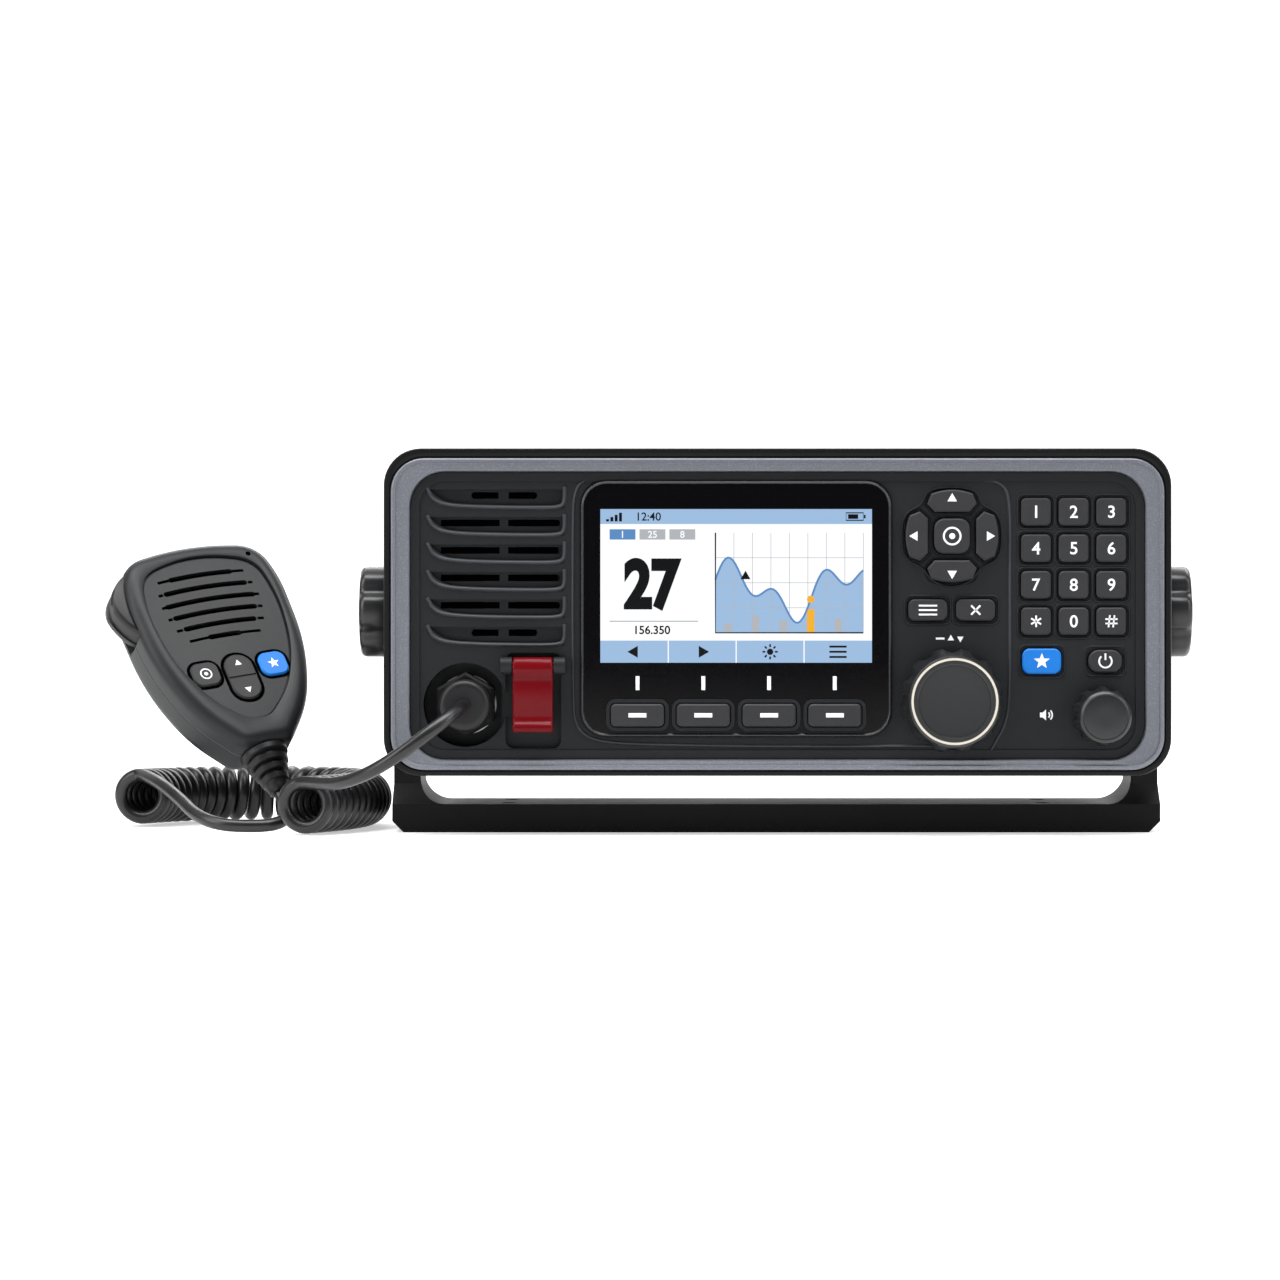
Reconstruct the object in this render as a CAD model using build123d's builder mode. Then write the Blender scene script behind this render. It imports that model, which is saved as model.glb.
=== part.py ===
from build123d import *
import os
from math import radians, tan

os.makedirs("parts", exist_ok=True)

# ---------------------------------------------------------------- driving dimensions (mm)
# Frame: +X to the user's right, +Y away from the user, +Z up. The origin is the centre of the
# bracket's foot, on the surface it stands on. "Depth" runs rearwards from the trim's front plane.

# General fits
SEAT_GAP = 0.15          # between fixed pieces that slip into each other
MOVE_GAP = 0.35          # between pieces that move past each other
RUN_FIT = 0.06           # radial clearance of a shaft in its bore
KEY_FIT = 0.4            # all round a key in its hole

# Radio head
PIVOT_Z = 78.0           # tilt axis above the foot
FACE_Y = -52.0           # front plane of the trim, in front of the tilt axis
BEZEL_LIP_X = 2.6        # bezel edge outside the trim, at the sides
BEZEL_LIP_Z = 2.8        # and at top and bottom
BEZEL_R = 13.0
BEZEL_SETBACK = 1.6      # bezel edge behind the trim's front plane
BEZEL_REAR = 27.0        # depth of the bezel's rear face
BEZEL_WALL = 2.6
BEZEL_BACK = 3.0         # thickness of the bezel's rear wall
LEDGE_DEPTH = 7.0        # ledge that carries trim and panel
LEDGE_THICK = 2.6
LEDGE_LAP = 2.6          # how far the ledge reaches under the panel

TRIM_SIDE = 6.8          # width of the trim beside the panel
TRIM_TOP = 4.4           # and above and below it
TRIM_DZ = -0.7           # trim centre below the tilt axis
TRIM_R = 11.5
TRIM_ROUND = 1.4
PANEL_DZ = -1.2
PANEL_R = 12.0
PANEL_FACE = 2.2         # depth of the panel's front face
PANEL_STEP = 0.7         # field inside the panel's rim is this much lower
PANEL_RIM = 3.0

# Display
LCD_W = 95.4             # viewing area of a 4.3 inch panel
LCD_H = 54.2
LCD_SIDE = 6.5           # window beyond the viewing area, at the sides
LCD_DROP = 9.6           # and at the top
WINDOW_TOP = 2.8         # window edge below the panel's top edge
WINDOW_FOOT = 7.6        # and above its bottom edge
WINDOW_R = 9.0
WINDOW_THICK = 2.0
WINDOW_PROUD = 0.6
LCD_BORDER = 4.0
LCD_THICK = 4.5

# Keys
KEY_TRAVEL = 0.8
KEY_PROUD = 0.9          # keypad caps stand out of the panel field
KEY_FLANGE = 0.7         # flange reaches this far past the cap
KEY_FLANGE_T = 1.0
KEY_CHAMFER = 0.5
PAD_PITCH_X = 13.1
PAD_PITCH_Z = 12.7
PAD_GAP_X = 2.7          # between neighbouring keypad keys
PAD_GAP_Z = 3.1
PAD_KEY_R = 1.8
PAD_TOP = 13.7           # first row below the panel's top edge
PAD_SIDE = 11.5          # last column inside the panel's right edge
WELL_GROW = 1.3          # the sunk well round each keypad key
WELL_DEPTH = 0.8
SOFT_GAP = 4.4           # between neighbouring soft keys
SOFT_SIDE = 10.7         # first soft key's edge inside the window's edge
SOFT_H = 7.8
SOFT_R = 1.6
SOFT_COUNT = 4
SOFT_RIM = 1.7           # raised surround of a soft key
SOFT_RIM_PROUD = 1.5
ARROW_GAP = 20.8         # arrow pad's centre beside the window
ARROW_TO_PAD = 29.3      # arrow pad's centre to the keypad's first column
ARROW_TOP = 22.2         # arrow pad's centre below the panel's top edge
ARROW_REACH = 16.1       # outer edge of the arrow keys
ENTER_KEY = (12.4, 12.2, 3.6)
SMALL_KEY = (13.6, 7.6, 2.4)
SMALL_KEY_PITCH = 16.6
SMALL_KEY_DROP = 25.7    # the two small keys below the arrow pad's centre
BLUE_KEY = (13.5, 8.8, 2.6)
POWER_KEY = (11.8, 7.9, 3.6)
BLUE_DROP = 13.9         # blue and power key below the keypad's last row

# Rotary controls
CHANNEL_FOOT = 20.3      # axis above the panel's bottom edge
CHANNEL_R = 18.2
CHANNEL_TIP_R = 15.6
CHANNEL_H = 17.5
CHANNEL_FLUTES = 12
VOLUME_DROP = 19.0       # axis below the blue key's row
VOLUME_FOOT = 14.9       # axis above the panel's bottom edge
VOLUME_SIDE = 14.9       # axis inside the panel's right edge
VOLUME_R = 10.4
VOLUME_TIP_R = 9.0
VOLUME_H = 15.0
VOLUME_FLUTES = 10
SHAFT_R = 3.0
SHAFT_CAP = 3.0          # knob material in front of its shaft's bore
KNOB_LIFT = 1.5          # knob's foot off the panel's field
PUSH_TRAVEL = 0.5
ENCODER_W = 12.4
ENCODER_H = 2.4

# Widths and heights of the face, from what it carries
LEFT_GROUP = 59.0        # louvres, connector and distress key, up to the window
WINDOW_W = LCD_W + 2 * LCD_SIDE
PANEL_W = LEFT_GROUP + WINDOW_W + ARROW_GAP + ARROW_TO_PAD + 2 * PAD_PITCH_X + PAD_SIDE
PANEL_H = PAD_TOP + 3 * PAD_PITCH_Z + BLUE_DROP + VOLUME_DROP + VOLUME_FOOT
WINDOW_H = PANEL_H - WINDOW_TOP - WINDOW_FOOT
TRIM_W = PANEL_W + 2 * TRIM_SIDE
TRIM_H = PANEL_H + 2 * TRIM_TOP
BEZEL_W = TRIM_W + 2 * BEZEL_LIP_X
BEZEL_H = TRIM_H + 2 * BEZEL_LIP_Z
PANEL_LEFT = -PANEL_W / 2
PANEL_RIGHT = PANEL_W / 2
PANEL_TOP = PANEL_DZ + PANEL_H / 2
PANEL_BOTTOM = PANEL_DZ - PANEL_H / 2
WINDOW_LEFT = PANEL_LEFT + LEFT_GROUP
WINDOW_CX = WINDOW_LEFT + WINDOW_W / 2
WINDOW_CZ = PANEL_TOP - WINDOW_TOP - WINDOW_H / 2
LCD_Z = PANEL_TOP - WINDOW_TOP - LCD_DROP - LCD_H / 2
SOFT_W = (WINDOW_W - 2 * SOFT_SIDE - (SOFT_COUNT - 1) * SOFT_GAP) / SOFT_COUNT
SOFT_X = [WINDOW_LEFT + SOFT_SIDE + SOFT_W / 2 + i * (SOFT_W + SOFT_GAP) for i in range(SOFT_COUNT)]
SOFT_Z = PANEL_BOTTOM + 2 * WINDOW_FOOT
ARROW_X = WINDOW_LEFT + WINDOW_W + ARROW_GAP
ARROW_Z = PANEL_TOP - ARROW_TOP
SMALL_KEY_Z = ARROW_Z - SMALL_KEY_DROP
PAD_X = [PANEL_RIGHT - PAD_SIDE - i * PAD_PITCH_X for i in (2, 1, 0)]
PAD_Z = [PANEL_TOP - PAD_TOP - i * PAD_PITCH_Z for i in range(4)]
BLUE_Z = PAD_Z[3] - BLUE_DROP
CHANNEL_X = ARROW_X
CHANNEL_Z = PANEL_BOTTOM + CHANNEL_FOOT
VOLUME_X = PANEL_RIGHT - VOLUME_SIDE
VOLUME_Z = PANEL_BOTTOM + VOLUME_FOOT

# Microphone connector
PLUG_X = PANEL_LEFT + 19.0
PLUG_Z = PANEL_BOTTOM + 18.7
RECESS_R = 14.65
RECESS_DEPTH = 11.0
RECESS_WALL = 1.2
SOCKET_R = 7.4
SOCKET_SHELL = 1.6       # wall of the socket
SOCKET_FLANGE = 3.0
NUT_R = 11.5             # corner radius of the hexagonal coupling nut
NUT_H = 9.0
CAP_R = 9.0
CAP_H = 7.0

# Distress key under its lid
DISTRESS_X = PANEL_LEFT + 42.65
DISTRESS_Z = PANEL_BOTTOM + 20.2
DISTRESS_W = 19.4
DISTRESS_H = 33.4

# Speaker
SPEAKER_X = PANEL_LEFT + 30.0
SPEAKER_Z = PANEL_TOP - 33.2
SPEAKER_R = 23.0
SPEAKER_DEPTH = 15.0
SPEAKER_FLANGE_T = 2.0
MAGNET_R = 14.0
SLOT_LEFT = PANEL_LEFT + 6.5
SLOT_RIGHT = PANEL_LEFT + 53.4
SLOT_H = 6.6
SLOT_COUNT = 6
SLOT_TOP_Z = PANEL_TOP - 5.9
SLOT_TO_POCKET = 2.4     # lowest louvre above the distress key's pocket
SLOT_PITCH = (SLOT_TOP_Z - SLOT_H - DISTRESS_Z - DISTRESS_H / 2 - SLOT_TO_POCKET) / (SLOT_COUNT - 1)
SLOT_DEPTH = 2.4
SLOT_POST = 9.0          # post between a louvre's two openings
SLOT_MOUTH = 2.4         # height of the openings

LID_W = 13.9
LID_HINGE_Z = DISTRESS_Z + 12.2
LID_HINGE_OUT = 1.2      # hinge axis in front of the trim plane
LID_ROLL_R = 3.0
LID_LENGTH = 22.4
LID_THICK = 1.5
TRUNNION_R = 1.2
TRUNNION_L = 2.6
POCKET_FLOOR = 2.0       # floor of the pocket, behind the panel
DISTRESS_BUTTON = (9.0, 12.0, 2.0)
DISTRESS_TRAVEL = 1.0

# Chassis behind the bezel
GASKET_T = 1.5
CHASSIS_W = 243.0
CHASSIS_H = 100.0
CHASSIS_R = 9.0
CHASSIS_WALL = 3.0
CHASSIS_REAR = 113.0     # depth of the flat rear wall
REAR_WALL = 4.0
SPIGOT_RUN = 5.0         # thick wall behind the bezel, before the chassis widens
FIN_H = 8.0
FIN_T = 2.2
FIN_PITCH = 8.0
FIN_COUNT = 17
FIN_END = 9.0            # end of a fin inside the chassis edge
GROOVE_W = 5.0
GROOVE_END = 16.0
PIVOT_BOSS_R = 13.0
PIVOT_BOSS_H = 3.0
PIVOT_PAD = 4.0          # thickening inside the wall, behind the boss
MAIN_BOARD_Z = -18.0
BOARD_EDGE = 12.5        # main board inside the chassis wall
BOARD_REAR = 10.0        # and in front of its rear face
BOARD_D = 70.0
POST_INSET = 11.0
POST_INSET_Y = 5.0
BOARD_T = 1.6
SCREW_R = 1.6
SCREW_HEAD_R = 3.0
SCREW_HEAD_H = 2.2
SCREW_SIDE = 13.0        # screws inside the chassis edges
SCREW_TOP = 10.0

# Rear connectors
ANTENNA_X = 29.5 - CHASSIS_W / 2
ANTENNA_Z = 20.0
ANTENNA_R = 7.94         # outside of the 5/8 inch thread
ANTENNA_L = 17.0
ANTENNA_FLANGE = 25.4
ANTENNA_FLANGE_T = 2.5
STEM_LENGTH = 3.0        # stems of the sockets beyond the rear wall
REAR_SOCKET_X = (ANTENNA_X, CHASSIS_W / 2 - 37.5, CHASSIS_W / 2 - 17.5)
REAR_SOCKET_Z = -22.0
REAR_SOCKET_R = 7.0
REAR_SOCKET_L = 9.0
REAR_SOCKET_STEM = 5.0

# Bracket
WASHER_T = 1.5
WASHER_R = 12.0
ARM_T = 9.5
ARM_TOP_R = 16.0
ARM_FOOT_HALF = 14.5
ARM_FLARE_Z = 17.0       # the arms widen to the foot below this height
ARM_WEB = 3.6
ARM_RIM = 3.2
FOOT_H = 10.0
FOOT_HALF = 24.0
INNER_R = 9.0
HOLE_DX = 190.0
HOLE_DY = 26.0
HOLE_R = 2.75

# Side knobs
STUD_R = 4.0
STUD_DEPTH = 6.0         # stud inside the chassis boss
GRIP_R = 17.0
GRIP_T = 12.3
GRIP_LOBES = 8

# Hand microphone, in its own frame: across, up its length, out of its face
MIC_AT = (-199.9, 7.0, 63.7)
MIC_BACK = 30.0          # leans back
MIC_YAW = 30.0           # turned so that its left side shows
MIC_LEAN = 9.5           # leans to the left
MIC_TOP = 42.9
MIC_BOTTOM = -44.5
MIC_FRONT = 9.2
MIC_REAR = 13.0
MIC_WALL = 2.4
MIC_SIDE = 3.4           # side wall
MIC_ROUND = 4.5          # rounding of the face's edge
MIC_REAR_ROUND = 6.0
MIC_FACE_IN = 1.2        # the face plate lies this far inside the rim
MIC_SPEAKER_R = 17.0
MIC_SPEAKER_V = 16.5
GRILLE_V = 28.4
GRILLE_PITCH = 5.3
GRILLE_SAG = 0.6
GRILLE_SLOT_H = 2.1
GRILLE_HALF_LENGTHS = (11.6, 15.5, 16.8, 15.6, 13.4, 5.5)
MIC_KEY = (10.6, 9.8, 3.4)
MIC_KEY_U = 13.3
MIC_KEY_V = -13.4
MIC_KEY_PROUD = 0.9
ROCKER = (11.0, 19.0, 5.4)
ROCKER_V = -16.8
ROCKER_PIN_R = 1.5
ROCKER_PIN_IN = 2.0      # pin's axis behind the face plate's inner side
BUTTON_V = 8.0           # hanger button on the back
BUTTON_R = 7.0
BUTTON_NECK = 3.0
BUTTON_T = 2.4
BOOT_L = 17.0
BOOT_TOP_R = 8.6
BOOT_TIP_R = 3.6
BOOT_GROOVES = 3
BOOT_SPIGOT_R = 3.2
BOOT_SPIGOT_L = 4.0
PTT_HALF_T = 5.5         # half the thickness of the talk bar
PTT_TRAVEL = 1.5

# Cord
CORD_D = 4.6
COIL_D = 20.0


# ---------------------------------------------------------------- planes and outlines
def face_plane(depth, x=0.0, z=0.0, turn=0.0):
    """Plane parallel to the radio's face: local x right, local y up, normal to the front."""
    plane = Plane(origin=(x, FACE_Y + depth, PIVOT_Z + z), x_dir=(1, 0, 0), z_dir=(0, -1, 0))
    return plane.rotated((0, -turn, 0))


def side_plane(x, side=1):
    """Plane across the tilt axis: normal along side * X, its origin on the axis."""
    return Plane(origin=(x, 0, PIVOT_Z), x_dir=(0, side, 0), z_dir=(side, 0, 0))


def rounded_box(width, height, radius, x=0.0, z=0.0):
    """Rounded rectangle centred at x, z of the sketch."""
    with Locations((x, z)):
        RectangleRounded(width, height, radius)


def arrow_outline():
    """Arrow key above the centre of its pad: flat inner side, cut corners, crowned outside."""
    with BuildLine() as outline:
        top = ARROW_REACH - 1.4
        Polyline((7.2, top), (8.6, top - 3.5), (6.0, top - 6.3), (-6.0, top - 6.3), (-8.6, top - 3.5), (-7.2, top))
        ThreePointArc((-7.2, top), (0, ARROW_REACH), (7.2, top))
    make_face(outline.edges())


def outer_rim_edges(part, axis_position):
    """Edges of the part that lie in the face-parallel plane at this Y."""
    return part.edges().filter_by_position(Axis.Y, axis_position - 0.01, axis_position + 0.01)


PANEL_BACK = LEDGE_DEPTH                       # the panel rests on the ledge
FIELD = PANEL_FACE + PANEL_STEP                # depth of the panel's field
KEY_FLANGE_AT = PANEL_BACK + MOVE_GAP
KEY_BACK = KEY_FLANGE_AT + KEY_FLANGE_T
BOARD_AT = KEY_BACK + KEY_TRAVEL + MOVE_GAP    # depth of the control board's front
LID_HINGE_DEPTH = -LID_HINGE_OUT

# Rectangular keys: name, x, z, width, height, corner radius, how far proud of the trim plane
PAD_KEY = (PAD_PITCH_X - PAD_GAP_X, PAD_PITCH_Z - PAD_GAP_Z, PAD_KEY_R)
LOW_KEY = KEY_PROUD - FIELD
PLAIN_KEYS = []
for row, row_z in enumerate(PAD_Z):
    for column, column_x in enumerate(PAD_X):
        label = ("key_star", "key_0", "key_hash")[column] if row == 3 else f"key_{3 * row + column + 1}"
        PLAIN_KEYS.append((label, column_x, row_z, *PAD_KEY, LOW_KEY))
for number, soft_x in enumerate(SOFT_X, 1):
    PLAIN_KEYS.append((f"soft_key_{number}", soft_x, SOFT_Z, SOFT_W, SOFT_H, SOFT_R, WINDOW_PROUD + 0.4))
PLAIN_KEYS += [
    ("enter_key", ARROW_X, ARROW_Z, *ENTER_KEY, 0.0),
    ("menu_key", ARROW_X - SMALL_KEY_PITCH / 2, SMALL_KEY_Z, *SMALL_KEY, LOW_KEY),
    ("clear_key", ARROW_X + SMALL_KEY_PITCH / 2, SMALL_KEY_Z, *SMALL_KEY, LOW_KEY),
    ("blue_key", PAD_X[0] + 2.0, BLUE_Z, *BLUE_KEY, LOW_KEY),
    ("power_key", PAD_X[2] - 2.1, BLUE_Z, *POWER_KEY, LOW_KEY),
]
ARROW_KEYS = (("up_key", 0), ("left_key", 90), ("down_key", 180), ("right_key", 270))

# ---------------------------------------------------------------- front bezel
with BuildPart() as front_bezel:
    with BuildSketch(face_plane(BEZEL_SETBACK)):
        RectangleRounded(BEZEL_W, BEZEL_H, BEZEL_R)
    extrude(amount=-(BEZEL_REAR - BEZEL_SETBACK))
    fillet(outer_rim_edges(front_bezel.part, FACE_Y + BEZEL_REAR), 3.0)
    chamfer(outer_rim_edges(front_bezel.part, FACE_Y + BEZEL_SETBACK), 0.8)
    # pocket of the trim, from the front
    with BuildSketch(face_plane(BEZEL_SETBACK)):
        rounded_box(TRIM_W + 2 * SEAT_GAP, TRIM_H + 2 * SEAT_GAP, TRIM_R, 0, TRIM_DZ)
    extrude(amount=-(LEDGE_DEPTH - BEZEL_SETBACK), mode=Mode.SUBTRACT)
    # opening inside the ledge
    with BuildSketch(face_plane(LEDGE_DEPTH)):
        rounded_box(PANEL_W - 2 * LEDGE_LAP, PANEL_H - 2 * LEDGE_LAP, PANEL_R - LEDGE_LAP, 0, PANEL_DZ)
    extrude(amount=-(LEDGE_THICK + 0.1), mode=Mode.SUBTRACT)
    # cavity between ledge and rear wall
    with BuildSketch(face_plane(LEDGE_DEPTH + LEDGE_THICK)):
        RectangleRounded(BEZEL_W - 2 * BEZEL_WALL, BEZEL_H - 2 * BEZEL_WALL, BEZEL_R - BEZEL_WALL)
    extrude(amount=-(BEZEL_REAR - BEZEL_BACK - LEDGE_DEPTH - LEDGE_THICK), mode=Mode.SUBTRACT)
    # mouth that takes the chassis
    with BuildSketch(face_plane(BEZEL_REAR - BEZEL_BACK)):
        RectangleRounded(
            CHASSIS_W - 2 * CHASSIS_WALL + 2 * SEAT_GAP,
            CHASSIS_H - 2 * CHASSIS_WALL + 2 * SEAT_GAP,
            CHASSIS_R - CHASSIS_WALL,
        )
    extrude(amount=-BEZEL_BACK, mode=Mode.SUBTRACT)
front_bezel.part.label = "front_bezel"
export_step(front_bezel.part, "parts/front_bezel.step")

# ---------------------------------------------------------------- silver trim frame
with BuildPart() as trim_frame:
    with BuildSketch(face_plane(0)):
        rounded_box(TRIM_W, TRIM_H, TRIM_R, 0, TRIM_DZ)
        with Locations((0, PANEL_DZ)):
            RectangleRounded(
                PANEL_W + 2 * SEAT_GAP, PANEL_H + 2 * SEAT_GAP, PANEL_R, mode=Mode.SUBTRACT
            )
    extrude(amount=-LEDGE_DEPTH)
    fillet(trim_frame.faces().sort_by(Axis.Y)[0].outer_wire().edges(), TRIM_ROUND)
trim_frame.part.label = "trim_frame"
export_step(trim_frame.part, "parts/trim_frame.step")

# ---------------------------------------------------------------- front panel
with BuildPart() as front_panel:
    with BuildSketch(face_plane(PANEL_FACE)):
        rounded_box(PANEL_W, PANEL_H, PANEL_R, 0, PANEL_DZ)
    extrude(amount=-(PANEL_BACK - PANEL_FACE))
    # field inside the rim
    with BuildSketch(face_plane(PANEL_FACE)):
        rounded_box(PANEL_W - 2 * PANEL_RIM, PANEL_H - 2 * PANEL_RIM, PANEL_R - PANEL_RIM, 0, PANEL_DZ)
    extrude(amount=-PANEL_STEP, mode=Mode.SUBTRACT)
    # cup of the microphone connector, behind the panel
    with BuildSketch(face_plane(PANEL_BACK, PLUG_X, PLUG_Z)):
        Circle(RECESS_R + RECESS_WALL)
    extrude(amount=-(RECESS_DEPTH + RECESS_WALL + FIELD - PANEL_BACK))
    with BuildSketch(face_plane(FIELD, PLUG_X, PLUG_Z)):
        Circle(RECESS_R)
    extrude(amount=-RECESS_DEPTH, mode=Mode.SUBTRACT)
    with BuildSketch(face_plane(FIELD, PLUG_X, PLUG_Z)):
        Circle(SOCKET_R)
    extrude(amount=-(RECESS_DEPTH + 2 * RECESS_WALL), mode=Mode.SUBTRACT)
    # raised surrounds of the soft keys
    with BuildSketch(face_plane(FIELD)):
        for soft_x in SOFT_X:
            rounded_box(SOFT_W + 2 * SOFT_RIM, SOFT_H + 2 * SOFT_RIM, SOFT_R + SOFT_RIM, soft_x, SOFT_Z)
    extrude(amount=FIELD + WINDOW_PROUD + SOFT_RIM_PROUD - PANEL_FACE)
    # rebate of the display window, with the surrounds left standing
    with BuildSketch(face_plane(PANEL_FACE)):
        rounded_box(WINDOW_W + 2 * SEAT_GAP, WINDOW_H + 2 * SEAT_GAP, WINDOW_R, WINDOW_CX, WINDOW_CZ)
        for soft_x in SOFT_X:
            with Locations((soft_x, SOFT_Z)):
                RectangleRounded(
                    SOFT_W + 2 * SOFT_RIM, SOFT_H + 2 * SOFT_RIM, SOFT_R + SOFT_RIM, mode=Mode.SUBTRACT
                )
    extrude(amount=-WINDOW_THICK, mode=Mode.SUBTRACT)
    # opening in front of the liquid crystal module
    with BuildSketch(face_plane(PANEL_FACE)):
        rounded_box(LCD_W, LCD_H, 1.0, WINDOW_CX, LCD_Z)
    extrude(amount=-(PANEL_BACK - PANEL_FACE), mode=Mode.SUBTRACT)
    # sunk wells round the keypad and the arrow pad
    with BuildSketch(face_plane(FIELD)):
        for label, key_x, key_z, width, height, radius, proud in PLAIN_KEYS:
            if not label.startswith("soft"):
                rounded_box(width + 2 * WELL_GROW, height + 2 * WELL_GROW, radius + WELL_GROW, key_x, key_z)
    extrude(amount=-WELL_DEPTH, mode=Mode.SUBTRACT)
    for label, turn in ARROW_KEYS:
        with BuildSketch(face_plane(FIELD, ARROW_X, ARROW_Z, turn)):
            arrow_outline()
            offset(amount=WELL_GROW)
        extrude(amount=-WELL_DEPTH, mode=Mode.SUBTRACT)
    # key holes
    with BuildSketch(face_plane(-5)):
        for label, key_x, key_z, width, height, radius, proud in PLAIN_KEYS:
            rounded_box(width + 2 * KEY_FIT, height + 2 * KEY_FIT, radius + KEY_FIT, key_x, key_z)
    extrude(amount=-(PANEL_BACK + 5), mode=Mode.SUBTRACT)
    for label, turn in ARROW_KEYS:
        with BuildSketch(face_plane(0, ARROW_X, ARROW_Z, turn)):
            arrow_outline()
            offset(amount=KEY_FIT)
        extrude(amount=-PANEL_BACK, mode=Mode.SUBTRACT)
    # shaft holes
    with BuildSketch(face_plane(0)):
        with Locations((CHANNEL_X, CHANNEL_Z), (VOLUME_X, VOLUME_Z)):
            Circle(SHAFT_R + MOVE_GAP)
    extrude(amount=-PANEL_BACK, mode=Mode.SUBTRACT)
    # speaker louvres: sunk steps whose left ends are cut off on a curve
    with BuildSketch(face_plane(FIELD)):
        for slot in range(SLOT_COUNT):
            top = SLOT_TOP_Z - slot * SLOT_PITCH
            with BuildLine():
                foot = (SLOT_LEFT + 9.0, top - 0.76 * SLOT_H)
                Polyline((SLOT_RIGHT, top), (SLOT_RIGHT, top - SLOT_H), foot)
                RadiusArc(foot, (SLOT_LEFT, top), 14.0)
                Line((SLOT_LEFT, top), (SLOT_RIGHT, top))
            make_face()
    extrude(amount=-SLOT_DEPTH, mode=Mode.SUBTRACT)
    # openings to the speaker under the upper lip of each louvre, with a post between
    with BuildSketch(face_plane(FIELD)):
        for slot in range(SLOT_COUNT):
            mouth_z = SLOT_TOP_Z - slot * SLOT_PITCH - 0.9 - SLOT_MOUTH / 2
            short = 8.0 if slot in (0, SLOT_COUNT - 1) else 0.0
            for left, right in (
                (SLOT_LEFT + 6.5 + short, SPEAKER_X + 0.6 - SLOT_POST / 2),
                (SPEAKER_X + 0.6 + SLOT_POST / 2, SLOT_RIGHT - 1.5 - short),
            ):
                with Locations(((left + right) / 2, mouth_z)):
                    SlotOverall(right - left, SLOT_MOUTH)
    extrude(amount=-(PANEL_BACK - FIELD), mode=Mode.SUBTRACT)
    # ring that carries the speaker, and posts that carry the control board
    with BuildSketch(face_plane(PANEL_BACK, SPEAKER_X, SPEAKER_Z)):
        Circle(SPEAKER_R + 1.2)
        Circle(SPEAKER_R - 1.6, mode=Mode.SUBTRACT)
    extrude(amount=-1.5)
    with BuildSketch(face_plane(PANEL_BACK)):
        with Locations(
            (ARROW_X - 16.1, PANEL_TOP - 8.6),
            (PAD_X[1] + PAD_PITCH_X / 2, PANEL_TOP - 6.0),
            (ARROW_X - 16.1, SMALL_KEY_Z - 10.2),
            (CHANNEL_X + CHANNEL_R + 5.7, PANEL_BOTTOM + 9.0),
            (ARROW_X + 19.9, SMALL_KEY_Z + 7.3),
        ):
            Circle(1.6)
    extrude(amount=-(BOARD_AT - PANEL_BACK))
    # pocket of the distress key
    with BuildSketch(face_plane(FIELD, DISTRESS_X, DISTRESS_Z)):
        RectangleRounded(DISTRESS_W, DISTRESS_H, 3.0)
    extrude(amount=-(PANEL_BACK - FIELD), mode=Mode.SUBTRACT)
    with BuildSketch(face_plane(PANEL_BACK, DISTRESS_X, DISTRESS_Z)):
        RectangleRounded(DISTRESS_W + 3.0, DISTRESS_H + 0.3, 3.0)
    extrude(amount=-POCKET_FLOOR)
    with BuildSketch(face_plane(0, DISTRESS_X, DISTRESS_Z)):
        RectangleRounded(
            DISTRESS_BUTTON[0] + 2 * KEY_FIT, DISTRESS_BUTTON[1] + 2 * KEY_FIT, DISTRESS_BUTTON[2]
        )
    extrude(amount=-(PANEL_BACK + 5), mode=Mode.SUBTRACT)
    # hinge barrels of the lid, one each side of it
    barrel_w = (DISTRESS_W + 3.0 - LID_W) / 2 - MOVE_GAP
    for side in (-1, 1):
        barrel_x = DISTRESS_X + side * (LID_W / 2 + MOVE_GAP + barrel_w / 2)
        barrel_plane = Plane(
            origin=(barrel_x - barrel_w / 2, FACE_Y + LID_HINGE_DEPTH, PIVOT_Z + LID_HINGE_Z),
            x_dir=(0, 1, 0),
            z_dir=(1, 0, 0),
        )
        with BuildSketch(barrel_plane):
            Circle(LID_ROLL_R)
            with Locations(((FIELD - LID_HINGE_DEPTH + 2) / 2, 0)):
                Rectangle(FIELD - LID_HINGE_DEPTH + 2, 2 * LID_ROLL_R)
        extrude(amount=barrel_w)
        with BuildSketch(barrel_plane):
            Circle(TRUNNION_R + RUN_FIT)
        extrude(amount=barrel_w, mode=Mode.SUBTRACT)
front_panel.part.label = "front_panel"
export_step(front_panel.part, "parts/front_panel.step")

# ---------------------------------------------------------------- display
with BuildPart() as display_window:
    with BuildSketch(face_plane(PANEL_FACE + WINDOW_THICK)):
        rounded_box(WINDOW_W, WINDOW_H, WINDOW_R, WINDOW_CX, WINDOW_CZ)
        for soft_x in SOFT_X:
            with Locations((soft_x, SOFT_Z)):
                RectangleRounded(
                    SOFT_W + 2 * (SOFT_RIM + SEAT_GAP),
                    SOFT_H + 2 * (SOFT_RIM + SEAT_GAP),
                    SOFT_R + SOFT_RIM + SEAT_GAP,
                    mode=Mode.SUBTRACT,
                )
    extrude(amount=WINDOW_THICK + WINDOW_PROUD)
display_window.part.label = "display_window"
export_step(display_window.part, "parts/display_window.step")

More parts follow.
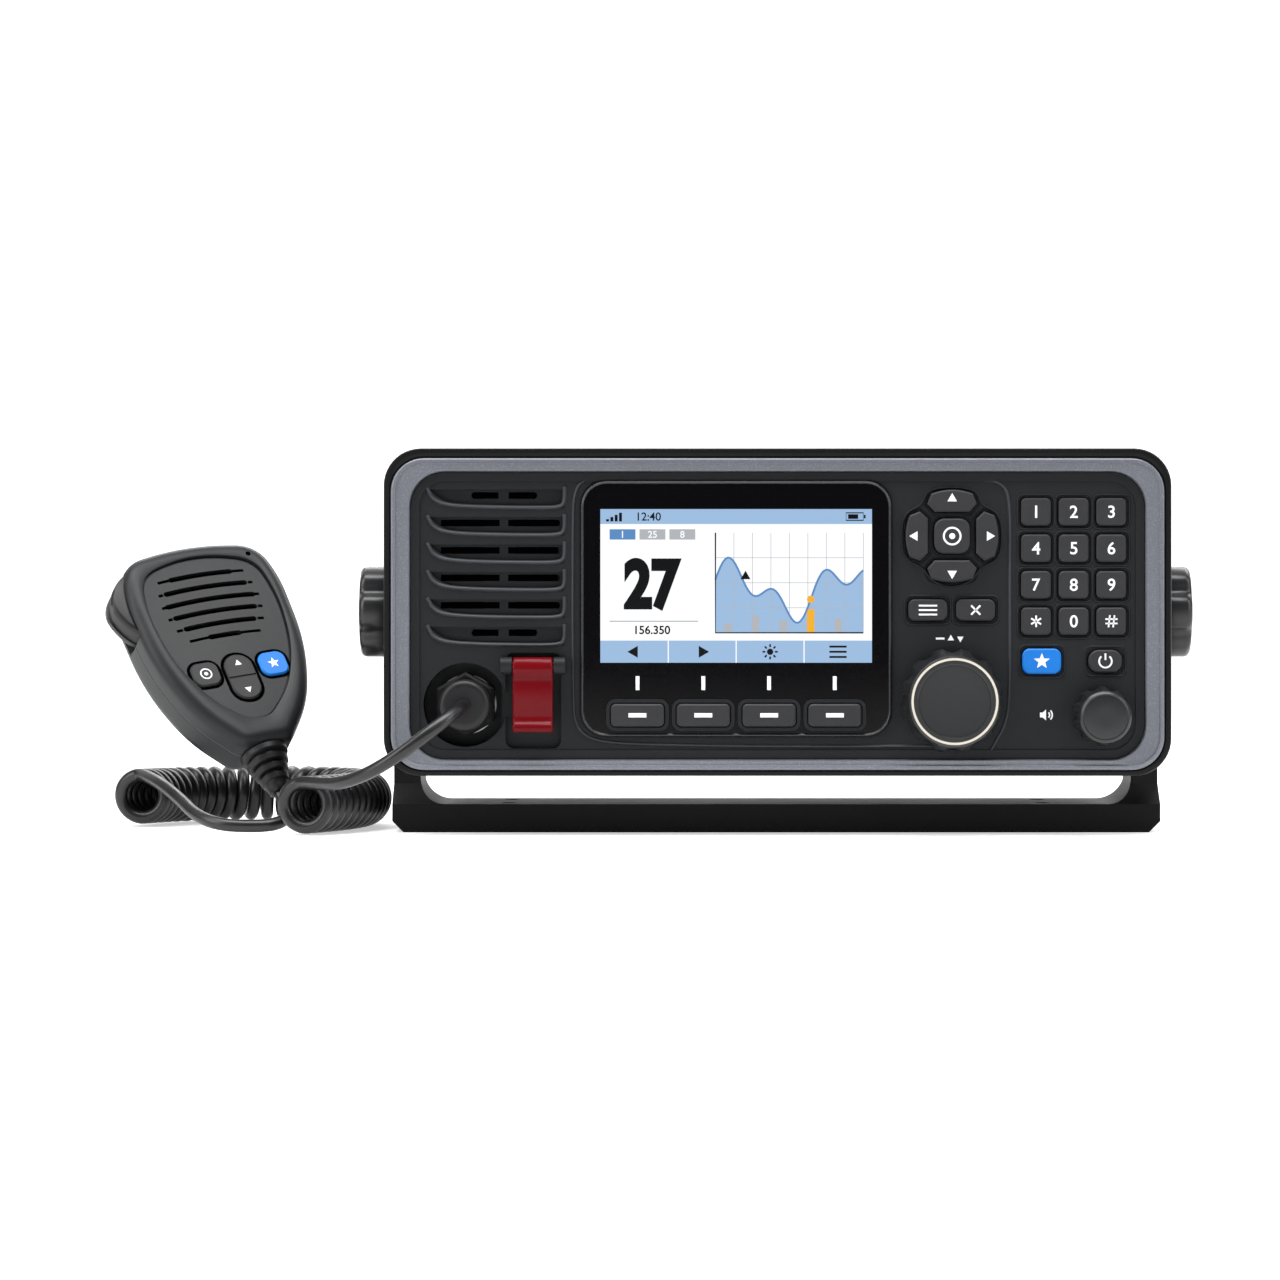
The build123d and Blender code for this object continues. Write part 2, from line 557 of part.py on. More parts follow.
with BuildPart() as lcd_module:
    with BuildSketch(face_plane(PANEL_BACK)):
        rounded_box(LCD_W + 2 * LCD_BORDER, LCD_H + 2 * LCD_BORDER, 1.0, WINDOW_CX, LCD_Z)
    extrude(amount=-LCD_THICK)
    # glass that stands into the panel's opening, up to the window
    with BuildSketch(face_plane(PANEL_BACK)):
        rounded_box(LCD_W - 2 * SEAT_GAP, LCD_H - 2 * SEAT_GAP, 1.0, WINDOW_CX, LCD_Z)
    extrude(amount=PANEL_BACK - PANEL_FACE - WINDOW_THICK)
lcd_module.part.label = "lcd_module"
export_step(lcd_module.part, "parts/lcd_module.step")

# ---------------------------------------------------------------- keys
for label, key_x, key_z, width, height, radius, proud in PLAIN_KEYS:
    with BuildPart() as key:
        with BuildSketch(face_plane(KEY_FLANGE_AT, key_x, key_z)):
            RectangleRounded(width, height, radius)
        extrude(amount=KEY_FLANGE_AT + proud)
        chamfer(key.faces().sort_by(Axis.Y)[0].edges(), KEY_CHAMFER)
        with BuildSketch(face_plane(KEY_FLANGE_AT, key_x, key_z)):
            RectangleRounded(width + 2 * KEY_FLANGE, height + 2 * KEY_FLANGE, radius + KEY_FLANGE)
        extrude(amount=-KEY_FLANGE_T)
    key.part.label = label
    export_step(key.part, f"parts/{label}.step")

for label, turn in ARROW_KEYS:
    with BuildPart() as key:
        with BuildSketch(face_plane(KEY_BACK, ARROW_X, ARROW_Z, turn)):
            arrow_outline()
        extrude(amount=KEY_BACK)
        chamfer(key.faces().sort_by(Axis.Y)[0].edges(), KEY_CHAMFER)
        # retaining lip behind the panel, on the outer side only
        with BuildSketch(face_plane(KEY_FLANGE_AT, ARROW_X, ARROW_Z, turn)):
            with Locations((0, ARROW_REACH - 0.9)):
                Rectangle(12.0, 3.2)
        extrude(amount=-KEY_FLANGE_T)
    key.part.label = label
    export_step(key.part, f"parts/{label}.step")


# ---------------------------------------------------------------- rotary knobs
KNOB_FOOT = FIELD - KNOB_LIFT
with BuildPart() as channel_knob:
    with BuildSketch(face_plane(KNOB_FOOT, CHANNEL_X, CHANNEL_Z)):
        Circle(CHANNEL_R)
    with BuildSketch(face_plane(KNOB_FOOT - CHANNEL_H, CHANNEL_X, CHANNEL_Z)):
        Circle(CHANNEL_TIP_R)
    loft()
    fillet(channel_knob.faces().sort_by(Axis.Y)[0].edges(), 1.2)
    with BuildSketch(face_plane(KNOB_FOOT - 2.5, CHANNEL_X, CHANNEL_Z)):
        with PolarLocations(CHANNEL_R + 2.4, CHANNEL_FLUTES):
            Circle(3.4)
    extrude(amount=CHANNEL_H, mode=Mode.SUBTRACT)
    with BuildSketch(face_plane(KNOB_FOOT - CHANNEL_H, CHANNEL_X, CHANNEL_Z)):
        Circle(CHANNEL_TIP_R - 3.0)
    extrude(amount=-0.8, mode=Mode.SUBTRACT)
    with BuildSketch(face_plane(KNOB_FOOT, CHANNEL_X, CHANNEL_Z)):
        Circle(SHAFT_R + RUN_FIT)
    extrude(amount=CHANNEL_H - SHAFT_CAP, mode=Mode.SUBTRACT)
channel_knob.part.label = "channel_knob"
export_step(channel_knob.part, "parts/channel_knob.step")

with BuildPart() as volume_knob:
    with BuildSketch(face_plane(KNOB_FOOT, VOLUME_X, VOLUME_Z)):
        Circle(VOLUME_R)
    with BuildSketch(face_plane(KNOB_FOOT - VOLUME_H, VOLUME_X, VOLUME_Z)):
        Circle(VOLUME_TIP_R)
    loft()
    fillet(volume_knob.faces().sort_by(Axis.Y)[0].edges(), 1.0)
    with BuildSketch(face_plane(KNOB_FOOT - 2.0, VOLUME_X, VOLUME_Z)):
        with PolarLocations(VOLUME_R + 1.3, VOLUME_FLUTES):
            Circle(2.2)
    extrude(amount=VOLUME_H, mode=Mode.SUBTRACT)
    with BuildSketch(face_plane(KNOB_FOOT, VOLUME_X, VOLUME_Z)):
        Circle(SHAFT_R + RUN_FIT)
    extrude(amount=VOLUME_H - SHAFT_CAP, mode=Mode.SUBTRACT)
volume_knob.part.label = "volume_knob"
export_step(volume_knob.part, "parts/volume_knob.step")

SHAFT_BACK = BOARD_AT - PUSH_TRAVEL - MOVE_GAP
for label, shaft_x, shaft_z, knob_h in (
    ("channel_shaft", CHANNEL_X, CHANNEL_Z, CHANNEL_H),
    ("volume_shaft", VOLUME_X, VOLUME_Z, VOLUME_H),
):
    with BuildPart() as shaft:
        with BuildSketch(face_plane(SHAFT_BACK, shaft_x, shaft_z)):
            Circle(SHAFT_R)
        extrude(amount=SHAFT_BACK - KNOB_FOOT + knob_h - SHAFT_CAP - MOVE_GAP)
        chamfer(shaft.faces().sort_by(Axis.Y)[0].edges(), 0.5)
    shaft.part.label = label
    export_step(shaft.part, f"parts/{label}.step")

# ---------------------------------------------------------------- circuit boards
BOARD_W = CHASSIS_W - 2 * (CHASSIS_WALL + BOARD_EDGE)
BOARD_Y = FACE_Y + CHASSIS_REAR - BOARD_REAR - BOARD_D / 2
with BuildPart() as circuit_boards:
    # control board with the encoders on its front
    with BuildSketch(face_plane(BOARD_AT)):
        with Locations(((ARROW_X - 17.4 + PANEL_RIGHT - 4.4) / 2, PANEL_DZ)):
            RectangleRounded(PANEL_RIGHT - 4.4 - ARROW_X + 17.4, PANEL_H - 9.6, 6.0)
    extrude(amount=-BOARD_T)
    with BuildSketch(face_plane(BOARD_AT)):
        with Locations((CHANNEL_X, CHANNEL_Z), (VOLUME_X, VOLUME_Z)):
            Rectangle(ENCODER_W, ENCODER_W)
            Circle(SHAFT_R + RUN_FIT, mode=Mode.SUBTRACT)
    extrude(amount=ENCODER_H)
    with BuildSketch(face_plane(BOARD_AT + BOARD_T)):
        with Locations((ARROW_X, ARROW_Z - 14.0), (PAD_X[0] + 6.0, PAD_Z[1])):
            Rectangle(14.0, 14.0)
        with Locations((PAD_X[1], BLUE_Z)):
            Rectangle(26.0, 6.0)
    extrude(amount=-2.2)
    # main board on its posts, with screening cans and the power stage
    with BuildSketch(Plane.XY.offset(PIVOT_Z + MAIN_BOARD_Z)):
        with Locations((0, BOARD_Y)):
            Rectangle(BOARD_W, BOARD_D)
    extrude(amount=BOARD_T)
    with BuildSketch(Plane.XY.offset(PIVOT_Z + MAIN_BOARD_Z + BOARD_T)):
        with Locations((-BOARD_W / 2 + 46, BOARD_Y - 2)):
            Rectangle(60, 44)
        with Locations((20, BOARD_Y - 6)):
            Rectangle(46, 34)
        with Locations((BOARD_W / 2 - 30, BOARD_Y + 16)):
            Rectangle(30, 26)
    extrude(amount=7.0)
circuit_boards.part.label = "circuit_boards"
export_step(circuit_boards.part, "parts/circuit_boards.step")

SPEAKER_AT = PANEL_BACK + 1.5
with BuildPart() as speaker:
    with BuildSketch(face_plane(SPEAKER_AT, SPEAKER_X, SPEAKER_Z)):
        Circle(SPEAKER_R)
    extrude(amount=-SPEAKER_FLANGE_T)
    with BuildSketch(face_plane(SPEAKER_AT + SPEAKER_FLANGE_T, SPEAKER_X, SPEAKER_Z)):
        Circle(SPEAKER_R - 2.0)
    with BuildSketch(face_plane(SPEAKER_AT + 0.6 * SPEAKER_DEPTH, SPEAKER_X, SPEAKER_Z)):
        Circle(MAGNET_R - 1.0)
    loft()
    with BuildSketch(face_plane(SPEAKER_AT + 0.6 * SPEAKER_DEPTH, SPEAKER_X, SPEAKER_Z)):
        Circle(MAGNET_R)
    extrude(amount=-0.4 * SPEAKER_DEPTH)
    # dished cone at the front
    with BuildSketch(face_plane(SPEAKER_AT, SPEAKER_X, SPEAKER_Z)):
        Circle(SPEAKER_R - 3.5)
    extrude(amount=-4.0, taper=40, mode=Mode.SUBTRACT)
speaker.part.label = "speaker"
export_step(speaker.part, "parts/speaker.step")

# ---------------------------------------------------------------- microphone connector
SOCKET_FLOOR = FIELD + RECESS_DEPTH
with BuildPart() as mic_socket:
    with BuildSketch(face_plane(SOCKET_FLOOR, PLUG_X, PLUG_Z)):
        Circle(SOCKET_R + SOCKET_FLANGE)
    extrude(amount=2.0)
    with BuildSketch(face_plane(SOCKET_FLOOR + RECESS_WALL + 4.0, PLUG_X, PLUG_Z)):
        Circle(SOCKET_R - SEAT_GAP)
    extrude(amount=RECESS_WALL + 4.0 + RECESS_DEPTH - 2.0)
    with BuildSketch(face_plane(FIELD + 2.0, PLUG_X, PLUG_Z)):
        Circle(SOCKET_R - SOCKET_SHELL)
    extrude(amount=-5.0, mode=Mode.SUBTRACT)
    with BuildSketch(face_plane(SOCKET_FLOOR + RECESS_WALL, PLUG_X, PLUG_Z)):
        RegularPolygon(SOCKET_R + SOCKET_FLANGE, 6)
    extrude(amount=-2.5)
mic_socket.part.label = "mic_socket"
export_step(mic_socket.part, "parts/mic_socket.step")

NUT_BACK = SOCKET_FLOOR - 2.0 - MOVE_GAP
NUT_FRONT = NUT_BACK - NUT_H
with BuildPart() as plug_nut:
    with BuildSketch(face_plane(NUT_BACK, PLUG_X, PLUG_Z, 90)):
        RegularPolygon(NUT_R, 6)
        Circle(SOCKET_R + RUN_FIT, mode=Mode.SUBTRACT)
    extrude(amount=NUT_H)
    chamfer(plug_nut.faces().sort_by(Axis.Y)[0].outer_wire().edges(), 0.9)
plug_nut.part.label = "plug_nut"
export_step(plug_nut.part, "parts/plug_nut.step")

PLUG_FACE = NUT_FRONT - CAP_H
with BuildPart() as plug_body:
    with BuildSketch(face_plane(NUT_FRONT, PLUG_X, PLUG_Z)):
        Circle(CAP_R)
    extrude(amount=CAP_H)
    fillet(plug_body.faces().sort_by(Axis.Y)[0].edges(), 2.6)
    # spigot through the nut into the socket
    with BuildSketch(face_plane(NUT_FRONT, PLUG_X, PLUG_Z)):
        Circle(SOCKET_R - SOCKET_SHELL - RUN_FIT)
    extrude(amount=-(FIELD + 5.5 - NUT_FRONT))
plug_body.part.label = "plug_body"
export_step(plug_body.part, "parts/plug_body.step")

# ---------------------------------------------------------------- distress key and lid
with BuildPart() as distress_button:
    with BuildSketch(face_plane(PANEL_BACK + POCKET_FLOOR + MOVE_GAP, DISTRESS_X, DISTRESS_Z)):
        RectangleRounded(*DISTRESS_BUTTON)
    extrude(amount=6.0)
    chamfer(distress_button.faces().sort_by(Axis.Y)[0].edges(), 0.6)
    with BuildSketch(face_plane(PANEL_BACK + POCKET_FLOOR + MOVE_GAP, DISTRESS_X, DISTRESS_Z)):
        RectangleRounded(DISTRESS_BUTTON[0] + 2, DISTRESS_BUTTON[1] + 2, DISTRESS_BUTTON[2] + 1)
    extrude(amount=-KEY_FLANGE_T)
distress_button.part.label = "distress_button"
export_step(distress_button.part, "parts/distress_button.step")

lid_plane = Plane(
    origin=(DISTRESS_X - LID_W / 2, FACE_Y + LID_HINGE_DEPTH, PIVOT_Z + LID_HINGE_Z),
    x_dir=(0, 1, 0),
    z_dir=(1, 0, 0),
)
with BuildPart() as distress_lid:
    with BuildSketch(lid_plane):
        Circle(LID_ROLL_R)
        # the leaf hangs down from the roll's front, with a lip that curls outwards
        with BuildLine():
            Line((-LID_ROLL_R, 0), (-LID_ROLL_R + 0.9, -LID_LENGTH + 3.2))
            RadiusArc((-LID_ROLL_R + 0.9, -LID_LENGTH + 3.2), (-LID_ROLL_R - 0.4, -LID_LENGTH), 3.6)
            Line((-LID_ROLL_R - 0.4, -LID_LENGTH), (-LID_ROLL_R + 0.9, -LID_LENGTH - 0.5))
            RadiusArc((-LID_ROLL_R + 0.9, -LID_LENGTH - 0.5), (-LID_ROLL_R + 2.4, -LID_LENGTH + 3.2), -3.6)
            Line((-LID_ROLL_R + 2.4, -LID_LENGTH + 3.2), (-LID_ROLL_R + LID_THICK, 0))
            Line((-LID_ROLL_R + LID_THICK, 0), (-LID_ROLL_R, 0))
        make_face()
    extrude(amount=LID_W)
    # side cheeks
    for cheek_x in (0.0, LID_W - 1.2):
        with BuildSketch(lid_plane.offset(cheek_x)):
            with BuildLine():
                Polyline(
                    (-LID_ROLL_R, 0),
                    (-LID_ROLL_R + 0.9, -LID_LENGTH + 3.2),
                    (-LID_ROLL_R + 3.4, -LID_LENGTH + 5.0),
                    (LID_ROLL_R - 0.6, -1.5),
                    (0, 0),
                    (-LID_ROLL_R, 0),
                )
            make_face()
        extrude(amount=1.2)
    with BuildSketch(lid_plane.offset(-TRUNNION_L)):
        Circle(TRUNNION_R)
    extrude(amount=LID_W + 2 * TRUNNION_L)
distress_lid.part.label = "distress_lid"
export_step(distress_lid.part, "parts/distress_lid.step")

# ---------------------------------------------------------------- chassis
CHASSIS_FRONT = BEZEL_REAR + GASKET_T
with BuildPart() as rubber_seals:
    with BuildSketch(face_plane(BEZEL_REAR)):
        RectangleRounded(CHASSIS_W, CHASSIS_H, CHASSIS_R)
        RectangleRounded(
            CHASSIS_W - 2 * CHASSIS_WALL + 2 * SEAT_GAP,
            CHASSIS_H - 2 * CHASSIS_WALL + 2 * SEAT_GAP,
            CHASSIS_R - CHASSIS_WALL,
            mode=Mode.SUBTRACT,
        )
    extrude(amount=-GASKET_T)
    # washers between the chassis and the bracket's arms
    for side in (-1, 1):
        with BuildSketch(side_plane(side * (CHASSIS_W / 2 + PIVOT_BOSS_H), side)):
            Circle(WASHER_R)
            Circle(STUD_R + RUN_FIT, mode=Mode.SUBTRACT)
        extrude(amount=WASHER_T)
rubber_seals.part.label = "rubber_seals"
export_step(rubber_seals.part, "parts/rubber_seals.step")

with BuildPart() as rear_chassis:
    with BuildSketch(face_plane(CHASSIS_FRONT)):
        RectangleRounded(CHASSIS_W, CHASSIS_H, CHASSIS_R)
    extrude(amount=-(CHASSIS_REAR - CHASSIS_FRONT))
    chamfer(outer_rim_edges(rear_chassis.part, FACE_Y + CHASSIS_REAR), 4.0)
    # spigot into the bezel's mouth
    with BuildSketch(face_plane(BEZEL_REAR - BEZEL_BACK)):
        RectangleRounded(CHASSIS_W - 2 * CHASSIS_WALL, CHASSIS_H - 2 * CHASSIS_WALL, CHASSIS_R - CHASSIS_WALL)
    extrude(amount=-(BEZEL_BACK + GASKET_T + 1))
    # hollow: narrow through the spigot, then as wide as the walls allow
    with BuildSketch(face_plane(BEZEL_REAR - BEZEL_BACK)):
        RectangleRounded(
            CHASSIS_W - 4 * CHASSIS_WALL, CHASSIS_H - 4 * CHASSIS_WALL, CHASSIS_R - CHASSIS_WALL - 1
        )
    extrude(amount=-(BEZEL_BACK + GASKET_T + SPIGOT_RUN + 1), mode=Mode.SUBTRACT)
    with BuildSketch(face_plane(CHASSIS_FRONT + SPIGOT_RUN)):
        RectangleRounded(CHASSIS_W - 2 * CHASSIS_WALL, CHASSIS_H - 2 * CHASSIS_WALL, CHASSIS_R - CHASSIS_WALL)
    extrude(amount=-(CHASSIS_REAR - REAR_WALL - CHASSIS_FRONT - SPIGOT_RUN), mode=Mode.SUBTRACT)
    # cooling fins on the rear wall
    with BuildSketch(face_plane(CHASSIS_REAR)):
        with GridLocations(FIN_PITCH, 1, FIN_COUNT, 1):
            Rectangle(FIN_T, CHASSIS_H - 2 * FIN_END)
    extrude(amount=-FIN_H)
    # shallow grooves along the top
    with BuildSketch(Plane.XY.offset(PIVOT_Z + CHASSIS_H / 2)):
        with Locations((0, FACE_Y + (CHASSIS_FRONT + CHASSIS_REAR) / 2)):
            with GridLocations(14.0, 1, 13, 1):
                Rectangle(GROOVE_W, CHASSIS_REAR - CHASSIS_FRONT - 2 * GROOVE_END)
    extrude(amount=-1.2, mode=Mode.SUBTRACT)
    # pivot bosses with blind threads
    for side in (-1, 1):
        with BuildSketch(side_plane(side * (CHASSIS_W / 2 - 1), side)):
            Circle(PIVOT_BOSS_R)
        extrude(amount=PIVOT_BOSS_H + 1)
        with BuildSketch(side_plane(side * (CHASSIS_W / 2 - CHASSIS_WALL + 1), side)):
            Circle(STUD_R + CHASSIS_WALL)
        extrude(amount=-(PIVOT_PAD + 1))
        with BuildSketch(side_plane(side * (CHASSIS_W / 2 + PIVOT_BOSS_H), side)):
            Circle(STUD_R + RUN_FIT)
        extrude(amount=-(STUD_DEPTH + 1), mode=Mode.SUBTRACT)
    # posts under the main board
    with BuildSketch(Plane.XY.offset(PIVOT_Z - CHASSIS_H / 2 + 1)):
        with Locations((0, BOARD_Y)):
            with GridLocations(BOARD_W - 2 * POST_INSET, BOARD_D - 2 * POST_INSET_Y, 2, 2):
                Circle(3.5)
    extrude(amount=MAIN_BOARD_Z + CHASSIS_H / 2 - 1)
    # seats of the rear connectors
    with BuildSketch(face_plane(CHASSIS_REAR)):
        with Locations((ANTENNA_X, ANTENNA_Z)):
            Circle(ANTENNA_R - 2.7 + SEAT_GAP)
        with Locations(*[(x, REAR_SOCKET_Z) for x in REAR_SOCKET_X]):
            Circle(REAR_SOCKET_STEM)
    extrude(amount=REAR_WALL, mode=Mode.SUBTRACT)
    # screw holes at the rear corners
    with BuildSketch(face_plane(CHASSIS_REAR)):
        with GridLocations(CHASSIS_W - 2 * SCREW_SIDE, CHASSIS_H - 2 * SCREW_TOP, 2, 2):
            Circle(SCREW_R + 0.1)
    extrude(amount=REAR_WALL, mode=Mode.SUBTRACT)
rear_chassis.part.label = "rear_chassis"
export_step(rear_chassis.part, "parts/rear_chassis.step")

with BuildPart() as case_screws:
    with BuildSketch(face_plane(CHASSIS_REAR)):
        with GridLocations(CHASSIS_W - 2 * SCREW_SIDE, CHASSIS_H - 2 * SCREW_TOP, 2, 2):
            Circle(SCREW_HEAD_R)
    extrude(amount=-SCREW_HEAD_H)
    with BuildSketch(face_plane(CHASSIS_REAR)):
        with GridLocations(CHASSIS_W - 2 * SCREW_SIDE, CHASSIS_H - 2 * SCREW_TOP, 2, 2):
            Circle(SCREW_R)
    extrude(amount=REAR_WALL + 2)
    with BuildSketch(face_plane(CHASSIS_REAR + SCREW_HEAD_H)):
        with GridLocations(CHASSIS_W - 2 * SCREW_SIDE, CHASSIS_H - 2 * SCREW_TOP, 2, 2):
            Rectangle(0.8, 3.6)
            Rectangle(3.6, 0.8)
    extrude(amount=1.2, mode=Mode.SUBTRACT)
case_screws.part.label = "case_screws"
export_step(case_screws.part, "parts/case_screws.step")

with BuildPart() as antenna_socket:
    with BuildSketch(face_plane(CHASSIS_REAR, ANTENNA_X, ANTENNA_Z)):
        RectangleRounded(ANTENNA_FLANGE, ANTENNA_FLANGE, 3.0)
    extrude(amount=-ANTENNA_FLANGE_T)
    with BuildSketch(face_plane(CHASSIS_REAR + ANTENNA_FLANGE_T, ANTENNA_X, ANTENNA_Z)):
        Circle(ANTENNA_R)
    extrude(amount=-ANTENNA_L)
    chamfer(outer_rim_edges(antenna_socket.part, FACE_Y + CHASSIS_REAR + ANTENNA_FLANGE_T + ANTENNA_L), 0.8)
    with BuildSketch(face_plane(CHASSIS_REAR, ANTENNA_X, ANTENNA_Z)):
        Circle(ANTENNA_R - 2.7)
    extrude(amount=REAR_WALL + STEM_LENGTH)
    with BuildSketch(face_plane(CHASSIS_REAR + ANTENNA_FLANGE_T + ANTENNA_L, ANTENNA_X, ANTENNA_Z)):
        Circle(2.0)
    extrude(amount=12.0, mode=Mode.SUBTRACT)
antenna_socket.part.label = "antenna_socket"
export_step(antenna_socket.part, "parts/antenna_socket.step")

with BuildPart() as rear_sockets:
    with BuildSketch(face_plane(CHASSIS_REAR)):
        with Locations(*[(x, REAR_SOCKET_Z) for x in REAR_SOCKET_X]):
            Circle(REAR_SOCKET_R + 2.0)
    extrude(amount=-2.0)
    # screwed rubber caps with a grip ring
    with BuildSketch(face_plane(CHASSIS_REAR + 2.0)):
        with Locations(*[(x, REAR_SOCKET_Z) for x in REAR_SOCKET_X]):
            Circle(REAR_SOCKET_R)
    extrude(amount=-(REAR_SOCKET_L - 2.0))
    chamfer(outer_rim_edges(rear_sockets.part, FACE_Y + CHASSIS_REAR + REAR_SOCKET_L), 1.0)
    with BuildSketch(face_plane(CHASSIS_REAR + 4.0)):
        for socket_x in REAR_SOCKET_X:
            with Locations((socket_x, REAR_SOCKET_Z)):
                with PolarLocations(REAR_SOCKET_R + 0.5, 6):
                    Circle(1.4)
    extrude(amount=-REAR_SOCKET_L, mode=Mode.SUBTRACT)
    with BuildSketch(face_plane(CHASSIS_REAR)):
        with Locations(*[(x, REAR_SOCKET_Z) for x in REAR_SOCKET_X]):
            Circle(REAR_SOCKET_STEM - SEAT_GAP)
    extrude(amount=REAR_WALL + STEM_LENGTH)
rear_sockets.part.label = "rear_sockets"
export_step(rear_sockets.part, "parts/rear_sockets.step")

# ---------------------------------------------------------------- bracket
ARM_IN = CHASSIS_W / 2 + PIVOT_BOSS_H + MOVE_GAP + WASHER_T
ARM_OUT = ARM_IN + ARM_T
with BuildPart() as bracket:
    # U seen from the front
    with BuildSketch(Plane.XZ.offset(-FOOT_HALF)):
        with Locations((0, (PIVOT_Z + ARM_TOP_R) / 2)):
            Rectangle(2 * ARM_OUT, PIVOT_Z + ARM_TOP_R)
        with Locations((0, FOOT_H + (PIVOT_Z + ARM_TOP_R) / 2)):
            Rectangle(2 * ARM_IN, PIVOT_Z + ARM_TOP_R, mode=Mode.SUBTRACT)
    extrude(amount=2 * FOOT_HALF)
    fillet(
        bracket.edges().filter_by(Axis.Y).filter_by_position(Axis.Z, FOOT_H - 0.1, FOOT_H + 0.1), INNER_R
    )
    chamfer(bracket.edges().filter_by(Axis.Y).filter_by_position(Axis.Z, -0.1, 0.1), 4.0)
    # silhouette of the arms seen from the side
    with BuildSketch(Plane.YZ.offset(-ARM_OUT - 1)):
        with BuildLine():
            Polyline(
                (-ARM_TOP_R, PIVOT_Z),
                (-ARM_FOOT_HALF, ARM_FLARE_Z),
                (-FOOT_HALF, FOOT_H),
                (-FOOT_HALF, 0),
                (FOOT_HALF, 0),
                (FOOT_HALF, FOOT_H),
                (ARM_FOOT_HALF, ARM_FLARE_Z),
                (ARM_TOP_R, PIVOT_Z),
            )
            RadiusArc((ARM_TOP_R, PIVOT_Z), (-ARM_TOP_R, PIVOT_Z), -ARM_TOP_R)
        make_face()
    extrude(amount=2 * ARM_OUT + 2, mode=Mode.INTERSECT)
    # weight-saving pocket in the outside of each arm
    for side in (-1, 1):
        with BuildSketch(side_plane(side * ARM_OUT, side)):
            with BuildLine():
                Polyline(
                    (-ARM_TOP_R + ARM_RIM, -GRIP_R - 2),
                    (-ARM_FOOT_HALF + ARM_RIM, FOOT_H + 6 - PIVOT_Z),
                    (ARM_FOOT_HALF - ARM_RIM, FOOT_H + 6 - PIVOT_Z),
                    (ARM_TOP_R - ARM_RIM, -GRIP_R - 2),
                )
                RadiusArc(
                    (ARM_TOP_R - ARM_RIM, -GRIP_R - 2), (-ARM_TOP_R + ARM_RIM, -GRIP_R - 2), -GRIP_R - 6
                )
            make_face()
        extrude(amount=-(ARM_T - ARM_WEB), mode=Mode.SUBTRACT)
        # upright rib in the pocket
        with BuildSketch(side_plane(side * (ARM_OUT - 0.8), side)):
            with Locations((0, (FOOT_H + 4 - PIVOT_Z - GRIP_R) / 2)):
                Rectangle(2.4, PIVOT_Z - FOOT_H - 4 - GRIP_R)
        extrude(amount=-(ARM_T - ARM_WEB))
        with BuildSketch(side_plane(side * ARM_OUT, side)):
            Circle(STUD_R + RUN_FIT)
        extrude(amount=-ARM_T, mode=Mode.SUBTRACT)
    # screw holes in the foot
    with BuildSketch(Plane.XY):
        with GridLocations(HOLE_DX, HOLE_DY, 2, 2):
            Circle(HOLE_R)
    extrude(amount=FOOT_H, mode=Mode.SUBTRACT)
bracket.part.label = "bracket"
export_step(bracket.part, "parts/bracket.step")

for label, side in (("side_knob_left", -1), ("side_knob_right", 1)):
    with BuildPart() as side_knob:
        with BuildSketch(side_plane(side * (ARM_OUT + MOVE_GAP), side)):
            Circle(GRIP_R)
            with PolarLocations(GRIP_R + 3.6, GRIP_LOBES):
                Circle(5.6, mode=Mode.SUBTRACT)
        extrude(amount=GRIP_T)
        outer_face = side_knob.faces().sort_by(Axis.X)[-1 if side > 0 else 0]
        chamfer(outer_face.edges(), 1.0)
        with BuildSketch(side_plane(side * (ARM_OUT + MOVE_GAP + GRIP_T), side)):
            Circle(10.5)
        extrude(amount=-1.2, mode=Mode.SUBTRACT)
        with BuildSketch(side_plane(side * (ARM_OUT + MOVE_GAP), side)):
            Circle(STUD_R)
        extrude(amount=-(MOVE_GAP + ARM_T + WASHER_T + MOVE_GAP + STUD_DEPTH))
    side_knob.part.label = label
    export_step(side_knob.part, f"parts/{label}.step")

# ---------------------------------------------------------------- hand microphone
mic_frame = Plane(origin=MIC_AT, x_dir=(1, 0, 0), z_dir=(0, -1, 0)).rotated((-MIC_BACK, 0, 0))
mic_frame = mic_frame.rotated((0, 0, MIC_YAW)).rotated((0, -MIC_LEAN, 0))
OUT_OF_MIC = Axis(mic_frame.origin, mic_frame.z_dir)


def mic_point(across, up, out):
    """Point of the microphone's own frame, in the part's frame."""
    return mic_frame.from_local_coords(Vector(across, up, out))


def mic_plane(out, across=0.0, up=0.0):
    """Plane parallel to the microphone's face, out millimetres in front of its parting line."""
    return Plane(origin=mic_point(across, up, out), x_dir=mic_frame.x_dir, z_dir=mic_frame.z_dir)


def shield(right, top, radii, crown):
    """Shield-shaped outline from the corners of its right half, from the foot up to the crown."""
    left = [(-across, up) for across, up in reversed(right)]
    with BuildLine() as outline:
        FilletPolyline(*right, (0, top), *left, radius=(*radii, crown, *reversed(radii)), close=True)
    make_face(outline.edges())


def mic_outline():
    """Outline of the microphone: crowned top, full shoulders, sides that draw in to the boot."""
    right = ((9.7, MIC_BOTTOM), (22.0, -29.5), (30.2, -6), (30.9, 22), (27.3, 38.6))
    shield(right, MIC_TOP, (7, 55, 85, 50, 14), 100)


def talk_bar_outline(grow=0.0, travel=0.0):
    """Bar at the left side of the microphone, crowned outwards, or the pocket that it moves in."""
    with BuildLine() as outline:
        ThreePointArc((-29.8, 9.0), (-36.2, 21.5), (-27.2, 35.0))
        Polyline((-27.2, 35.0), (-24.0, 33.0), (-26.0, 9.0), (-29.8, 9.0))
    bar = make_face(outline.edges())
    if grow:
        add(bar.face().moved(Location((travel, 0))))
        offset(amount=grow)


